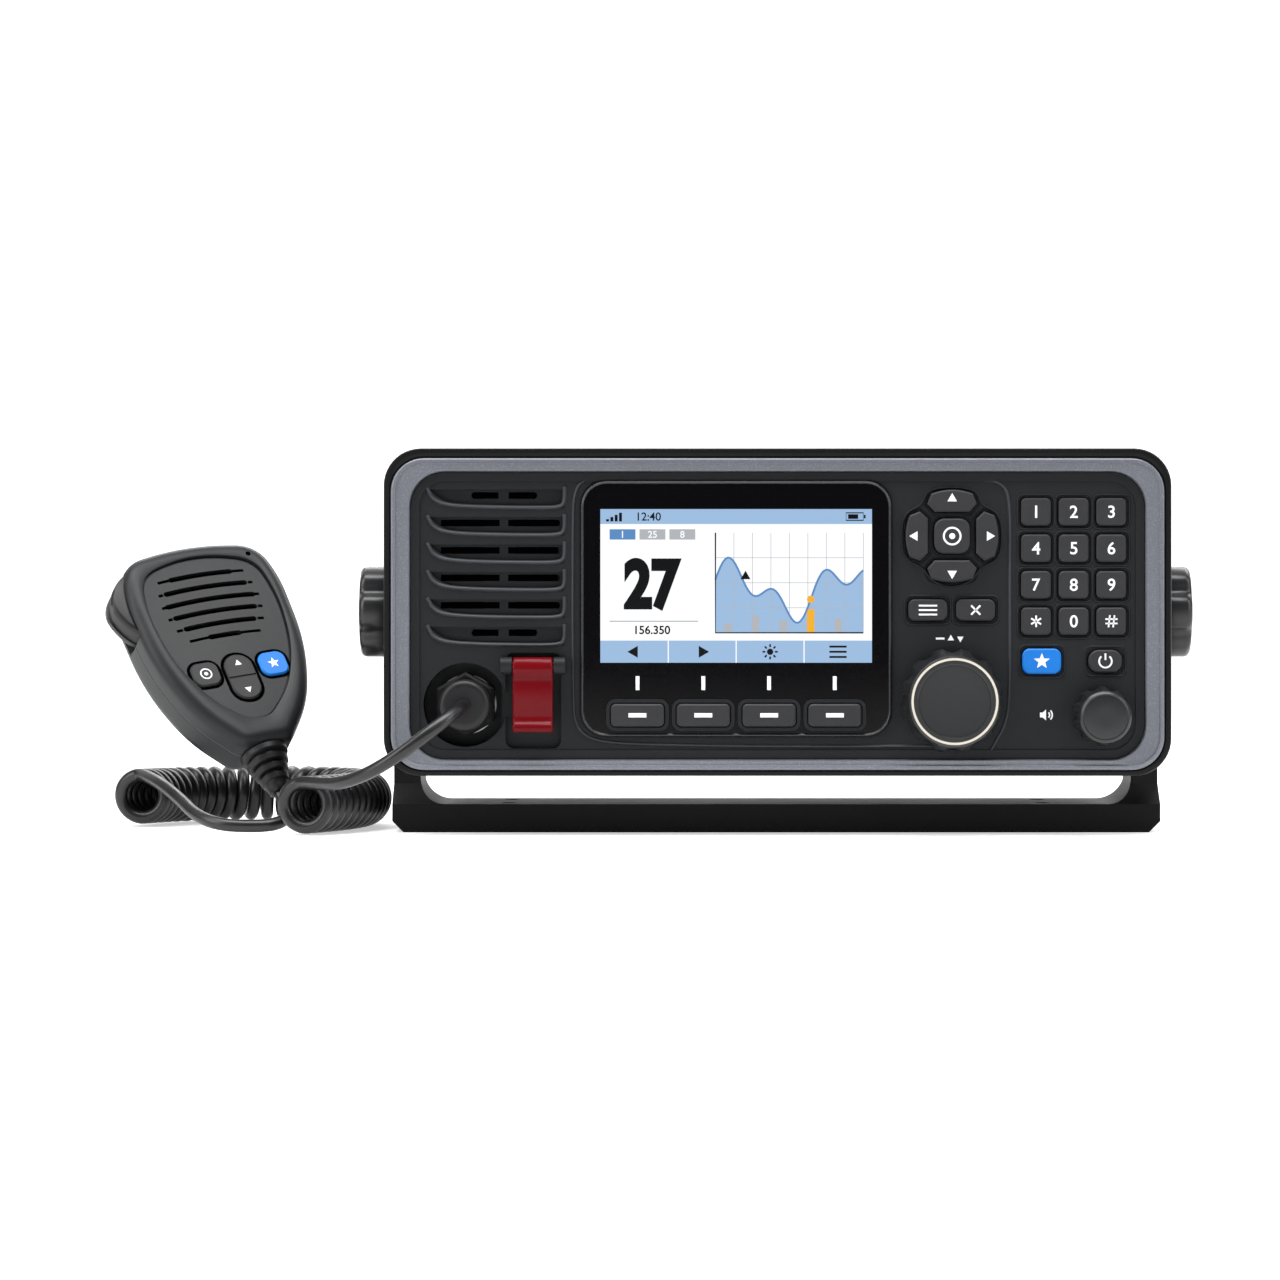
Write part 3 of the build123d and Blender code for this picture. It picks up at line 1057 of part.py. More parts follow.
boot_plane = Plane(origin=mic_point(0, MIC_BOTTOM, 0), x_dir=mic_frame.x_dir, z_dir=-mic_frame.y_dir)
MIC_KEYS = (("mic_left_key", -MIC_KEY_U), ("mic_blue_key", MIC_KEY_U))
MIC_FACE = MIC_FRONT - MIC_FACE_IN
MIC_SKIN = MIC_FACE - MIC_WALL

with BuildPart() as mic_front_shell:
    with BuildSketch(mic_plane(0)):
        mic_outline()
    extrude(amount=MIC_FRONT)
    fillet(mic_front_shell.faces().sort_by(OUT_OF_MIC)[-1].edges(), MIC_ROUND)
    # inset face plate
    with BuildSketch(mic_plane(MIC_FRONT)):
        plate_right = ((4.5, -34.5), (15.0, -24.5), (23.3, -7.0), (25.8, 14.0), (22.8, 31.0))
        shield(plate_right, 38.0, (9, 40, 60, 55, 12), 50)
    extrude(amount=-MIC_FACE_IN, mode=Mode.SUBTRACT)
    # hollow
    with BuildSketch(mic_plane(0)):
        mic_outline()
        offset(amount=-MIC_SIDE)
    extrude(amount=MIC_SKIN, mode=Mode.SUBTRACT)
    # arched grille slots
    with BuildSketch(mic_plane(MIC_FACE + 1)):
        for slot, slot_half in enumerate(GRILLE_HALF_LENGTHS):
            slot_v = GRILLE_V - slot * GRILLE_PITCH
            with BuildLine(mode=Mode.PRIVATE) as arch:
                SagittaArc((-slot_half, slot_v - GRILLE_SAG), (slot_half, slot_v - GRILLE_SAG), GRILLE_SAG)
            SlotArc(arch.edges()[0], GRILLE_SLOT_H)
    extrude(amount=-MIC_WALL - 2, mode=Mode.SUBTRACT)
    # key holes
    with BuildSketch(mic_plane(MIC_FACE + 1)):
        for label, key_u in MIC_KEYS:
            rounded_box(MIC_KEY[0] + 2 * KEY_FIT, MIC_KEY[1] + 2 * KEY_FIT, MIC_KEY[2], key_u, MIC_KEY_V)
        rounded_box(ROCKER[0] + 2 * KEY_FIT, ROCKER[1] + 2 * KEY_FIT, ROCKER[2], 0, ROCKER_V)
    extrude(amount=-MIC_WALL - 2, mode=Mode.SUBTRACT)
    # pocket of the talk bar, and bore of the boot
    with BuildSketch(mic_plane(0)):
        talk_bar_outline(MOVE_GAP, PTT_TRAVEL)
    extrude(amount=PTT_HALF_T + MOVE_GAP, both=True, mode=Mode.SUBTRACT)
    with BuildSketch(boot_plane):
        Circle(BOOT_SPIGOT_R)
    extrude(amount=-BOOT_SPIGOT_L - 1, mode=Mode.SUBTRACT)
mic_front_shell.part.label = "mic_front_shell"
export_step(mic_front_shell.part, "parts/mic_front_shell.step")

with BuildPart() as mic_rear_shell:
    with BuildSketch(mic_plane(0)):
        mic_outline()
    extrude(amount=-MIC_REAR)
    fillet(mic_rear_shell.faces().sort_by(OUT_OF_MIC)[0].edges(), MIC_REAR_ROUND)
    with BuildSketch(mic_plane(0)):
        mic_outline()
        offset(amount=-MIC_SIDE)
    extrude(amount=-(MIC_REAR - MIC_WALL), mode=Mode.SUBTRACT)
    # pocket of the talk bar, and bore of the boot
    with BuildSketch(mic_plane(0)):
        talk_bar_outline(MOVE_GAP, PTT_TRAVEL)
    extrude(amount=PTT_HALF_T + MOVE_GAP, both=True, mode=Mode.SUBTRACT)
    with BuildSketch(boot_plane):
        Circle(BOOT_SPIGOT_R)
    extrude(amount=-BOOT_SPIGOT_L - 1, mode=Mode.SUBTRACT)
    # hanger button on the back
    with BuildSketch(mic_plane(-MIC_REAR, 0, BUTTON_V)):
        Circle(4.0)
    extrude(amount=-(BUTTON_NECK + BUTTON_T / 2))
    with BuildSketch(mic_plane(-MIC_REAR - BUTTON_NECK, 0, BUTTON_V)):
        Circle(BUTTON_R)
    extrude(amount=-BUTTON_T)
mic_rear_shell.part.label = "mic_rear_shell"
export_step(mic_rear_shell.part, "parts/mic_rear_shell.step")

MIC_FLANGE_AT = MIC_SKIN - MOVE_GAP
for label, key_u in MIC_KEYS:
    with BuildPart() as key:
        with BuildSketch(mic_plane(MIC_FLANGE_AT, key_u, MIC_KEY_V)):
            RectangleRounded(*MIC_KEY)
        extrude(amount=MIC_FACE + MIC_KEY_PROUD - MIC_FLANGE_AT)
        chamfer(key.faces().sort_by(OUT_OF_MIC)[-1].edges(), KEY_CHAMFER)
        with BuildSketch(mic_plane(MIC_FLANGE_AT, key_u, MIC_KEY_V)):
            RectangleRounded(MIC_KEY[0] + 2 * KEY_FLANGE, MIC_KEY[1] + 2 * KEY_FLANGE, MIC_KEY[2])
        extrude(amount=-KEY_FLANGE_T)
    key.part.label = label
    export_step(key.part, f"parts/{label}.step")

with BuildPart() as mic_rocker:
    with BuildSketch(mic_plane(MIC_SKIN - ROCKER_PIN_IN, 0, ROCKER_V)):
        RectangleRounded(*ROCKER)
    extrude(amount=MIC_FACE + MIC_KEY_PROUD - MIC_SKIN + ROCKER_PIN_IN)
    chamfer(mic_rocker.faces().sort_by(OUT_OF_MIC)[-1].edges(), KEY_CHAMFER)
    # groove across the middle
    with BuildSketch(mic_plane(MIC_FACE + MIC_KEY_PROUD, 0, ROCKER_V)):
        Rectangle(ROCKER[0], 0.9)
    extrude(amount=-0.5, mode=Mode.SUBTRACT)
    # pin it rocks on
    pin_end = mic_point(-ROCKER[0] / 2 - 1.0, ROCKER_V, MIC_SKIN - ROCKER_PIN_IN)
    with BuildSketch(Plane(origin=pin_end, x_dir=mic_frame.y_dir, z_dir=mic_frame.x_dir)):
        Circle(ROCKER_PIN_R)
    extrude(amount=ROCKER[0] + 2.0)
mic_rocker.part.label = "mic_rocker"
export_step(mic_rocker.part, "parts/mic_rocker.step")

with BuildPart() as mic_talk_bar:
    with BuildSketch(mic_plane(0)):
        talk_bar_outline()
    extrude(amount=PTT_HALF_T, both=True)
    crown = mic_talk_bar.faces().sort_by(Axis(mic_frame.origin, mic_frame.x_dir))[0]
    fillet(crown.edges(), 1.6)
mic_talk_bar.part.label = "mic_talk_bar"
export_step(mic_talk_bar.part, "parts/mic_talk_bar.step")

with BuildPart() as mic_speaker:
    with BuildSketch(mic_plane(MIC_SKIN, 0, MIC_SPEAKER_V)):
        Circle(MIC_SPEAKER_R)
    extrude(amount=-2.4)
    with BuildSketch(mic_plane(MIC_SKIN - 2.4, 0, MIC_SPEAKER_V)):
        Circle(10.0)
    extrude(amount=-6.0)
    with BuildSketch(mic_plane(MIC_SKIN, 0, MIC_SPEAKER_V)):
        Circle(MIC_SPEAKER_R - 2.5)
    extrude(amount=-1.6, mode=Mode.SUBTRACT)
mic_speaker.part.label = "mic_speaker"
export_step(mic_speaker.part, "parts/mic_speaker.step")

with BuildPart() as mic_boot:
    with BuildSketch(mic_plane(0, 0, MIC_BOTTOM)) as boot_half:
        groove_pitch = (BOOT_L - 5.5) / BOOT_GROOVES
        with BuildLine():
            Polyline(
                (0, BOOT_SPIGOT_L),
                (BOOT_SPIGOT_R - SEAT_GAP, BOOT_SPIGOT_L),
                (BOOT_SPIGOT_R - SEAT_GAP, -SEAT_GAP),
                (BOOT_TOP_R, -SEAT_GAP),
                (BOOT_TOP_R - 0.5, -3.8),
                (BOOT_TIP_R, -BOOT_L),
                (0, -BOOT_L),
                (0, BOOT_SPIGOT_L),
            )
        make_face()
        for groove in range(BOOT_GROOVES):
            groove_y = -5.4 - groove * groove_pitch
            groove_x = BOOT_TOP_R - 0.5 + (BOOT_TIP_R - BOOT_TOP_R + 0.5) * (-groove_y - 3.8) / (BOOT_L - 3.8)
            with Locations((groove_x, groove_y)):
                Rectangle(2.6, 1.5, mode=Mode.SUBTRACT)
    revolve(axis=Axis(mic_point(0, MIC_BOTTOM, 0), mic_frame.y_dir))
mic_boot.part.label = "mic_boot"
export_step(mic_boot.part, "parts/mic_boot.step")

# ---------------------------------------------------------------- curly cord
boot_tip = mic_point(0, MIC_BOTTOM - BOOT_L, 0)
boot_aim = -mic_frame.y_dir
PLUG_EXIT = Vector(PLUG_X, FACE_Y + PLUG_FACE, PIVOT_Z + PLUG_Z)

# From the plug down to the top of the coil's first turn
LEAD_RADIO = [
    PLUG_EXIT,
    PLUG_EXIT + Vector(0, -9.5, 0),
    Vector(-112.4, -73.9, 42.4),
    Vector(-120.5, -79.0, 36.2),
    Vector(-131.0, -79.0, 28.4),
    Vector(-141.5, -74.0, 22.2),
    Vector(-151.5, -65.5, 18.8),
    Vector(-159.5, -54.5, 18.6),
    Vector(-163.5, -43.5, 18.2),
]
# Middle line of the coil, from the turn beside the radio round to the one under the microphone
COIL = [
    Vector(-165.5, -46.5, 10.7),
    Vector(-158.5, -28.0, 10.4),
    Vector(-150.5, -7.0, 10.4),
    Vector(-148.0, 16.0, 10.4),
    Vector(-152.5, 39.0, 10.4),
    Vector(-168.0, 55.0, 10.4),
    Vector(-190.0, 60.0, 10.4),
    Vector(-211.0, 53.0, 10.4),
    Vector(-225.0, 35.0, 10.6),
    Vector(-229.5, 12.0, 11.2),
]
# From the microphone's boot along the surface and up to the top of the coil's last turn
LEAD_MIC = [
    boot_tip,
    boot_tip + boot_aim * 5.4,
    Vector(-173.0, -26.6, 4.6),
    Vector(-178.0, -31.0, 2.9),
    Vector(-185.0, -32.4, 2.6),
    Vector(-195.6, -31.6, 3.0),
    Vector(-205.0, -24.6, 5.8),
    Vector(-211.8, -14.0, 11.0),
    Vector(-219.5, -4.0, 16.0),
    Vector(-226.0, 6.0, 18.4),
    Vector(-229.0, 15.5, 18.6),
]


def bend_radii(points):
    """As large an arc at each corner as its two runs allow."""
    radii = []
    for before, corner, after in zip(points, points[1:], points[2:]):
        turn = (corner - before).get_angle(after - corner)
        run = min((corner - before).length, (after - corner).length)
        radii.append(0.45 * run / tan(radians(turn / 2)))
    return radii


for label, points, diameter in (
    ("cord_lead_radio", LEAD_RADIO, CORD_D),
    ("cord_coil", COIL, COIL_D),
    ("cord_lead_mic", LEAD_MIC, CORD_D),
):
    radii = bend_radii(points)
    with BuildPart() as cord:
        with BuildLine() as route:
            FilletPolyline(*points, radius=radii)
        with BuildSketch(Plane(origin=points[0], z_dir=points[1] - points[0])):
            Circle(diameter / 2)
        sweep(path=route.wires()[0])
    length = route.wires()[0].length
    section = 3.14159265 * diameter**2 / 4
    print(label, "length", round(length, 1), "volume / (section x length)",
          round(cord.part.volume / (section * length), 4), "radii", [round(r, 1) for r in radii])
    cord.part.label = label
    export_step(cord.part, f"parts/{label}.step")
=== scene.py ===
"""Marine radio on a tilting U bracket, with a hand microphone on a curly cord.

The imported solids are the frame. This add-on dresses them: moulded plastics, paints and rubbers, the
lit display, the key legends, the fluted knobs, the microphone's shells and the cord.
"""

from math import cos, pi, radians, sin

import bpy
import numpy as np
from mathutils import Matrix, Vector


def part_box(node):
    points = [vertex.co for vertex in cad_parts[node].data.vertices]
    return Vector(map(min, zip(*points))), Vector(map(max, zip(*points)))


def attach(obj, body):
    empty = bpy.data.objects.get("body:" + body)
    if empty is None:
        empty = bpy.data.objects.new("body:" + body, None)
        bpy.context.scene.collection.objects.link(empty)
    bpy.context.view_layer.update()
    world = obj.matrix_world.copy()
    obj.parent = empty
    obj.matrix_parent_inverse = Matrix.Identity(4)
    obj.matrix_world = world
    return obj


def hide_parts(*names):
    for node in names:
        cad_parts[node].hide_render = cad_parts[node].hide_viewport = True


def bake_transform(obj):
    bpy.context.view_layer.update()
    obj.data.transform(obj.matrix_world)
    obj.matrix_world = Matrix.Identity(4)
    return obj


bl_info = {
    "name": "Marine Radio",
    "version": (1, 0, 0),
    "blender": (4, 5, 0),
    "location": "View3D > Sidebar > Marine Radio",
    "description": "Dresses a marine radio, its bracket, its hand microphone and the cord",
    "category": "Add Mesh",
}

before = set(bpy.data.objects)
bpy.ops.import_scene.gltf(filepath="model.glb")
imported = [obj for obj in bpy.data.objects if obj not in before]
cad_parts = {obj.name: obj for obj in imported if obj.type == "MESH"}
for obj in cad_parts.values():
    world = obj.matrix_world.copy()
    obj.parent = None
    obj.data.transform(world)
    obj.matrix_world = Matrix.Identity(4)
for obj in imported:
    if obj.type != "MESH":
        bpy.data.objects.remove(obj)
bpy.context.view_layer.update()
MM = 0.001

# Places of the radio's face: x to the right of its centre, z above the tilt axis, depth behind the
# trim's front plane, all in millimetres
FACE_Y = -52.0
PIVOT_Z = 78.0
FIELD_DEPTH = 2.9  # the panel
WINDOW_DEPTH = 1.6  # the display window
PRINT = 0.03  # what a print stands out
FRONT = (0.0, -1.0, 0.0)


def on_face(x, z, depth):
    """Points of the radio's face, in metres, from arrays of face millimetres."""
    x, z, depth = np.broadcast_arrays(*(np.asarray(value, float) for value in (x, z, depth)))
    return np.stack([x, FACE_Y + depth, PIVOT_Z + z], axis=-1) * MM


def seat(node):
    """Middle x, middle z, front depth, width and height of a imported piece, in face millimetres."""
    low, high = (np.array(corner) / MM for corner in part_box(node))
    middle = (low + high) / 2
    return middle[0], middle[2] - PIVOT_Z, low[1] - FACE_Y, high[0] - low[0], high[2] - low[2]


# ------------------------------ materials
class Wire:
    """An output socket of a node. Arithmetic on it adds Math nodes."""

    def __init__(self, nodes, socket):
        self.nodes = nodes
        self.socket = socket

    def _math(self, operation, *values):
        return self.nodes.node("ShaderNodeMath", {"operation": operation}, values)

    def __add__(self, other):
        return self._math("ADD", self, other)

    def __rsub__(self, other):
        return self._math("SUBTRACT", other, self)

    def __mul__(self, other):
        return self._math("MULTIPLY", self, other)

    def __pow__(self, exponent):
        return self._math("POWER", self, exponent)

    __radd__ = __add__
    __rmul__ = __mul__


class Nodes:
    """The nodes of a material or a world."""

    def __init__(self, tree):
        self.tree = tree

    def feed(self, socket, value):
        """Links a wire to a socket, or sets its value."""
        if isinstance(value, Wire):
            self.tree.links.new(value.socket, socket)
        elif isinstance(value, (tuple, list)) and len(value) == 3 and socket.type == "RGBA":
            socket.default_value = (*value, 1.0)
        else:
            socket.default_value = value

    def node(self, kind, settings=None, values=(), output=0, **named):
        """Adds a node: its settings first, then its sockets by order or number and by name."""
        node = self.tree.nodes.new(kind)
        for key, value in (settings or {}).items():
            setattr(node, key, value)
        for number, value in values.items() if isinstance(values, dict) else enumerate(values):
            self.feed(node.inputs[number], value)
        for name, value in named.items():
            self.feed(node.inputs[name.replace("_", " ")], value)
        return Wire(self, node.outputs[output])


class Finish(Nodes):
    """A material with one shader."""

    def __init__(self, name):
        self.material = bpy.data.materials.new(name)
        self.material.use_nodes = True
        super().__init__(self.material.node_tree)
        self.tree.nodes.clear()
        self.shader = self.tree.nodes.new("ShaderNodeBsdfPrincipled")
        self.output = self.tree.nodes.new("ShaderNodeOutputMaterial")
        self.tree.links.new(self.shader.outputs[0], self.output.inputs[0])
        self.place = self.node("ShaderNodeTexCoord", output="Object")

    def noise(self, scale, detail=2.0, roughness=0.5):
        """Even noise in object space, 0 to 1, with this many blobs to a metre."""
        return self.node(
            "ShaderNodeTexNoise", Vector=self.place, Scale=scale, Detail=detail, Roughness=roughness
        )

    def blend(self, mask, low, high):
        """Colour between two, by a mask of 0 to 1."""
        return self.node("ShaderNodeMix", {"data_type": "RGBA"}, {0: mask, 6: low, 7: high}, output=2)

    def bump(self, height, distance, strength=1.0):
        """Normal from a height of 0 to 1 that stands for this many metres."""
        return self.node("ShaderNodeBump", Height=height, Distance=distance, Strength=strength)

    def surface(self, **inputs):
        """Sets or links the shader's inputs and returns the material."""
        for name, value in inputs.items():
            self.feed(self.shader.inputs[name.replace("_", " ")], value)
        return self.material

    def backdrop(self, colour):
        """Adds this light for rays from the camera, off gloss and through clear pieces alone."""
        camera = self.node("ShaderNodeLightPath", output="Is Camera Ray")
        rays = camera.socket.node.outputs
        seen = camera + Wire(self, rays["Is Glossy Ray"]) + Wire(self, rays["Is Transmission Ray"])
        glow = self.node("ShaderNodeEmission", Color=colour, Strength=seen)
        both = self.node("ShaderNodeAddShader", values=[Wire(self, self.shader.outputs[0]), glow])
        self.tree.links.new(both.socket, self.output.inputs[0])
        return self.material


def tint(colour, factor):
    """A colour made lighter or darker."""
    return tuple(min(1.0, channel * factor) for channel in colour)


def moulded(name, colour, roughness, grain=2600.0, relief=0.00004, cloud=0.16, specular=0.24):
    """Spark-eroded plastic: fine grain in the relief, soft clouds in colour and gloss."""
    finish = Finish(name)
    grains = finish.noise(grain, 3.0, 0.6)
    clouds = finish.noise(38.0, 4.0)
    shade = finish.blend(clouds * 0.7 + grains * 0.3, tint(colour, 1 - cloud), tint(colour, 1 + cloud))
    return finish.surface(
        Base_Color=shade,
        Roughness=clouds * 0.1 + (roughness - 0.05),
        Normal=finish.bump(grains, relief, 0.55),
        Specular_IOR_Level=specular,
    )


def rubber(name, colour, roughness=0.55, specular=0.26):
    """Silicone or polyurethane: smooth, with faint handling marks in the gloss."""
    finish = Finish(name)
    marks = finish.noise(160.0, 5.0, 0.62)
    dust = finish.noise(5200.0, 2.0)
    return finish.surface(
        Base_Color=finish.blend(marks, tint(colour, 0.88), tint(colour, 1.16)),
        Roughness=marks * 0.22 + (roughness - 0.1),
        Normal=finish.bump(dust, 0.00002, 0.4),
        Specular_IOR_Level=specular,
    )


def flake_paint(name, colour, roughness):
    """Metallic paint: flakes of different brightness under a thin clear coat."""
    finish = Finish(name)
    flakes = finish.node("ShaderNodeTexVoronoi", output="Color", Vector=finish.place, Scale=3400.0)
    value = finish.node("ShaderNodeSeparateColor", values=[flakes])
    fine = finish.noise(3800.0, 2.0)
    sparkle = (value**6.0) * 0.75 + fine * 0.25
    return finish.surface(
        Base_Color=finish.blend(sparkle, tint(colour, 0.9), tint(colour, 1.6)),
        Metallic=value * 0.2 + 0.3,
        Roughness=fine * 0.2 + (roughness - 0.1),
        Normal=finish.bump(value, 0.00001, 0.35),
        Coat_Weight=0.2,
        Coat_Roughness=0.25,
    )


def cast_paint(name, colour, roughness):
    """Powder coat over a die casting: an orange-peel relief."""
    finish = Finish(name)
    peel = finish.noise(1300.0, 3.0, 0.55)
    clouds = finish.noise(22.0, 3.0)
    return finish.surface(
        Base_Color=finish.blend(clouds, tint(colour, 0.85), tint(colour, 1.15)),
        Roughness=peel * 0.16 + (roughness - 0.08),
        Normal=finish.bump(peel, 0.00009, 0.5),
        Specular_IOR_Level=0.26,
    )


def metal(name, colour, roughness, streak=0.0):
    """Plated or brushed metal; streak stretches the noise along X."""
    finish = Finish(name)
    stretched = finish.node("ShaderNodeMapping", Vector=finish.place, Scale=(1.0 - 0.97 * streak, 1.0, 1.0))
    lines = finish.node("ShaderNodeTexNoise", Vector=stretched, Scale=1800.0, Detail=3.0)
    return finish.surface(
        Base_Color=finish.blend(lines, tint(colour, 0.85), tint(colour, 1.1)),
        Metallic=1.0,
        Roughness=lines * 0.18 + (roughness - 0.09),
    )


def gloss(name, colour, roughness=0.06, specular=0.3, clear=0.0):
    """Polished lens or cap, with a trace of dust in its gloss."""
    finish = Finish(name)
    dust = finish.noise(900.0, 4.0, 0.7)
    return finish.surface(
        Base_Color=finish.blend(dust, tint(colour, 0.9), tint(colour, 1.25)),
        Roughness=(dust**3.0) * 0.2 + roughness,
        Specular_IOR_Level=specular,
        Transmission_Weight=clear,
    )


def lit(name, colour, strength=1.0):
    """A field of the display: its own light under a glossy lens."""
    finish = Finish(name)
    cells = finish.noise(6000.0, 1.0)
    return finish.surface(
        Base_Color=tint(colour, 0.06),
        Roughness=0.2,
        Specular_IOR_Level=0.15,
        Emission_Color=finish.blend(cells, tint(colour, 0.96), colour),
        Emission_Strength=strength,
    )


def circuit(name):
    """Green solder mask with paler tracks."""
    finish = Finish(name)
    tracks = finish.node(
        "ShaderNodeTexBrick", {"offset": 0.35}, output="Fac",
        Vector=finish.place, Scale=300.0, Mortar_Size=0.06,
    )
    return finish.surface(
        Base_Color=finish.blend(tracks, (0.015, 0.09, 0.035), (0.05, 0.2, 0.08)),
        Roughness=0.35,
    )


FINISHES = {}


def make_finishes(look):
    """All materials of the part, under the names that the pieces use."""
    black, knob_black = (0.0006, 0.0006, 0.0006), (0.011, 0.0115, 0.0125)
    # painted highlight: the panel's colour made lighter for the louvre lips and the long raised lines, for
    # the light that their edges catch
    ridge_grey = tint(look.panel_colour, 2.3)
    FINISHES.update(
        shell=moulded("black_shell", look.shell_colour, 0.42, specular=0.15),
        panel=moulded("panel_plastic", look.panel_colour, 0.5, grain=3200.0, specular=0.2),
        bracket=moulded(
            "bracket_plastic", look.bracket_colour, 0.5, grain=2200.0, relief=0.00006, specular=0.15
        ),
        trim=flake_paint("silver_paint", look.trim_colour, 0.4),
        window=gloss("window_gloss", (0.0015, 0.0015, 0.002), 0.05, 0.12),
        bead=gloss("window_bead", (0.012, 0.0125, 0.014), 0.22, 0.5),
        key=rubber("key_rubber", look.key_colour, 0.5),
        blue=rubber("blue_rubber", look.blue_colour, 0.42),
        knob=moulded("knob_plastic", knob_black, 0.32, grain=3600.0, relief=0.00001, specular=0.4),
        ridge=moulded("panel_ridge", ridge_grey, 0.4, grain=3200.0, specular=0.4),
        ring=moulded("knob_ring", (0.6, 0.56, 0.48), 0.35, relief=0.00001, cloud=0.05),
        # painted highlight: a paler band along the microphone's seam for the light that its edges catch
        seam=moulded("shell_seam_painted_highlight", (0.07, 0.073, 0.078), 0.4),
        legend=moulded("legend_white", (0.84, 0.85, 0.86), 0.5, relief=0.000005, cloud=0.03),
        red=gloss("red_clear", look.red_colour, 0.2, 0.09, 0.06),
        red_key=rubber("red_key", (0.4, 0.02, 0.02)),
        plug=rubber("plug_rubber", (0.0085, 0.0085, 0.0095), 0.4),
        cord=rubber("cord_rubber", (0.0075, 0.0075, 0.0085), 0.32, 0.42),
        seal=rubber("seal_rubber", (0.008, 0.008, 0.008), 0.7),
        microphone=moulded("mic_plastic", look.mic_colour, 0.42, grain=2400.0, relief=0.00006),
        cast=cast_paint("chassis_paint", (0.018, 0.018, 0.02), 0.5),
        steel=metal("steel", (0.36, 0.36, 0.36), 0.38, streak=0.8),
        plated=metal("plated", (0.36, 0.355, 0.34), 0.3),
        # painted shade: a black finish without gloss, laid in slots, grooves, key gaps and behind holes where
        # shade falls
        void=moulded("slot_painted_shade", black, 0.9, specular=0.0),
        cone=moulded("speaker_paper", (0.004, 0.004, 0.004), 0.8, specular=0.1),
        board=circuit("board"),
        screen_white=lit("screen_white", (0.95, 0.96, 0.97)),
        screen_blue=lit("screen_blue", (0.1, 0.25, 0.52)),
        screen_pale=lit("screen_pale", (0.32, 0.48, 0.7)),
        screen_ink=lit("screen_ink", (0.006, 0.007, 0.01), 0.4),
        screen_grey=lit("screen_grey", (0.42, 0.44, 0.47)),
        screen_amber=lit("screen_amber", (0.86, 0.42, 0.03)),
    )


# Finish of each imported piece; those that are not named here are keys
NODE_FINISH = {
    "bracket": "bracket", "rear_chassis": "cast", "front_bezel": "shell", "trim_frame": "trim",
    "front_panel": "panel", "display_window": "window", "lcd_module": "cone", "speaker": "cone",
    "circuit_boards": "board", "rubber_seals": "seal", "case_screws": "steel", "mic_socket": "steel",
    "plug_nut": "shell", "plug_body": "plug", "antenna_socket": "plated", "rear_sockets": "seal",
    "channel_shaft": "steel", "volume_shaft": "steel", "side_knob_left": "knob",
    "side_knob_right": "knob", "distress_button": "red_key", "mic_blue_key": "blue",
    "mic_speaker": "cone", "mic_boot": "plug", "blue_key": "blue", "mic_front_shell": "microphone",
    "mic_rear_shell": "microphone", "mic_talk_bar": "knob", "distress_lid": "red",
    "channel_knob": "knob", "volume_knob": "knob",
}
KEYS = [
    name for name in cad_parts
    if name.startswith(("key_", "soft_key_")) or name.endswith("_key") and not name.startswith("mic_")
]


# ------------------------------ meshes
# A part is (points, blocks, material): points is an array of any shape by 3, each block an array of
# faces with the same number of corners, and material an index into the piece's finishes.
def lattice(rows, columns, wrap=False):
    """Quads of a grid of points, row by row; wrap joins the last column to the first."""
    index = np.arange(rows * columns).reshape(rows, columns)
    if wrap:
        index = np.concatenate([index, index[:, :1]], axis=1)
    corners = index[:-1, :-1], index[:-1, 1:], index[1:, 1:], index[1:, :-1]
    return np.stack(corners, axis=-1).reshape(-1, 4)


def area_and_volume(points, blocks):
    """Sum of the faces' area vectors, and the volume that they enclose round their middle."""
    flat = points.reshape(-1, 3)
    flat = flat - flat.mean(axis=0)
    area, volume = np.zeros(3), 0.0
    for block in blocks:
        first = flat[block[:, 0]]
        for i in range(1, block.shape[1] - 1):
            second, third = flat[block[:, i]], flat[block[:, i + 1]]
            area += np.cross(second - first, third - first).sum(axis=0) / 2
            volume += (first * np.cross(second, third)).sum() / 6
    return area, volume


def outward(points, blocks, material=0):
    """The part with its faces turned to its outside."""
    if area_and_volume(points, blocks)[1] < 0:
        blocks = [block[:, ::-1] for block in blocks]
    return points, blocks, material


def facing(points, blocks, direction, material=0):
    """The part with its faces turned to a direction."""
    if area_and_volume(points, blocks)[0] @ np.asarray(direction) < 0:
        blocks = [block[:, ::-1] for block in blocks]
    return points, blocks, material


def add_object(name, data):
    """A new object of the scene."""
    thing = bpy.data.objects.new(name, data)
    bpy.context.scene.collection.objects.link(thing)
    return thing


def piece(name, parts, finish, body, replaces=(), crease=32.0):
    """One object of several parts. finish is a name, or a list that the parts' materials index."""
    finishes = finish if isinstance(finish, list) else [finish]
    points, faces, materials, start = [], [], [], 0
    for part_points, blocks, material in parts:
        corners = part_points.reshape(-1, 3)
        points.append(corners)
        for block in blocks:
            faces += (block + start).tolist()
            materials += [material] * len(block)
        start += len(corners)
    mesh = bpy.data.meshes.new(name)
    mesh.from_pydata(np.concatenate(points).tolist(), [], faces)
    for key in finishes:
        mesh.materials.append(FINISHES[key])
    mesh.polygons.foreach_set("material_index", materials)
    mesh.polygons.foreach_set("use_smooth", [True] * len(faces))
    mesh.update()
    mesh.set_sharp_from_angle(angle=radians(crease))
    thing = add_object(name, mesh)
    if body:
        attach(thing, body)
    if replaces:
        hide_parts(*replaces)
    return thing


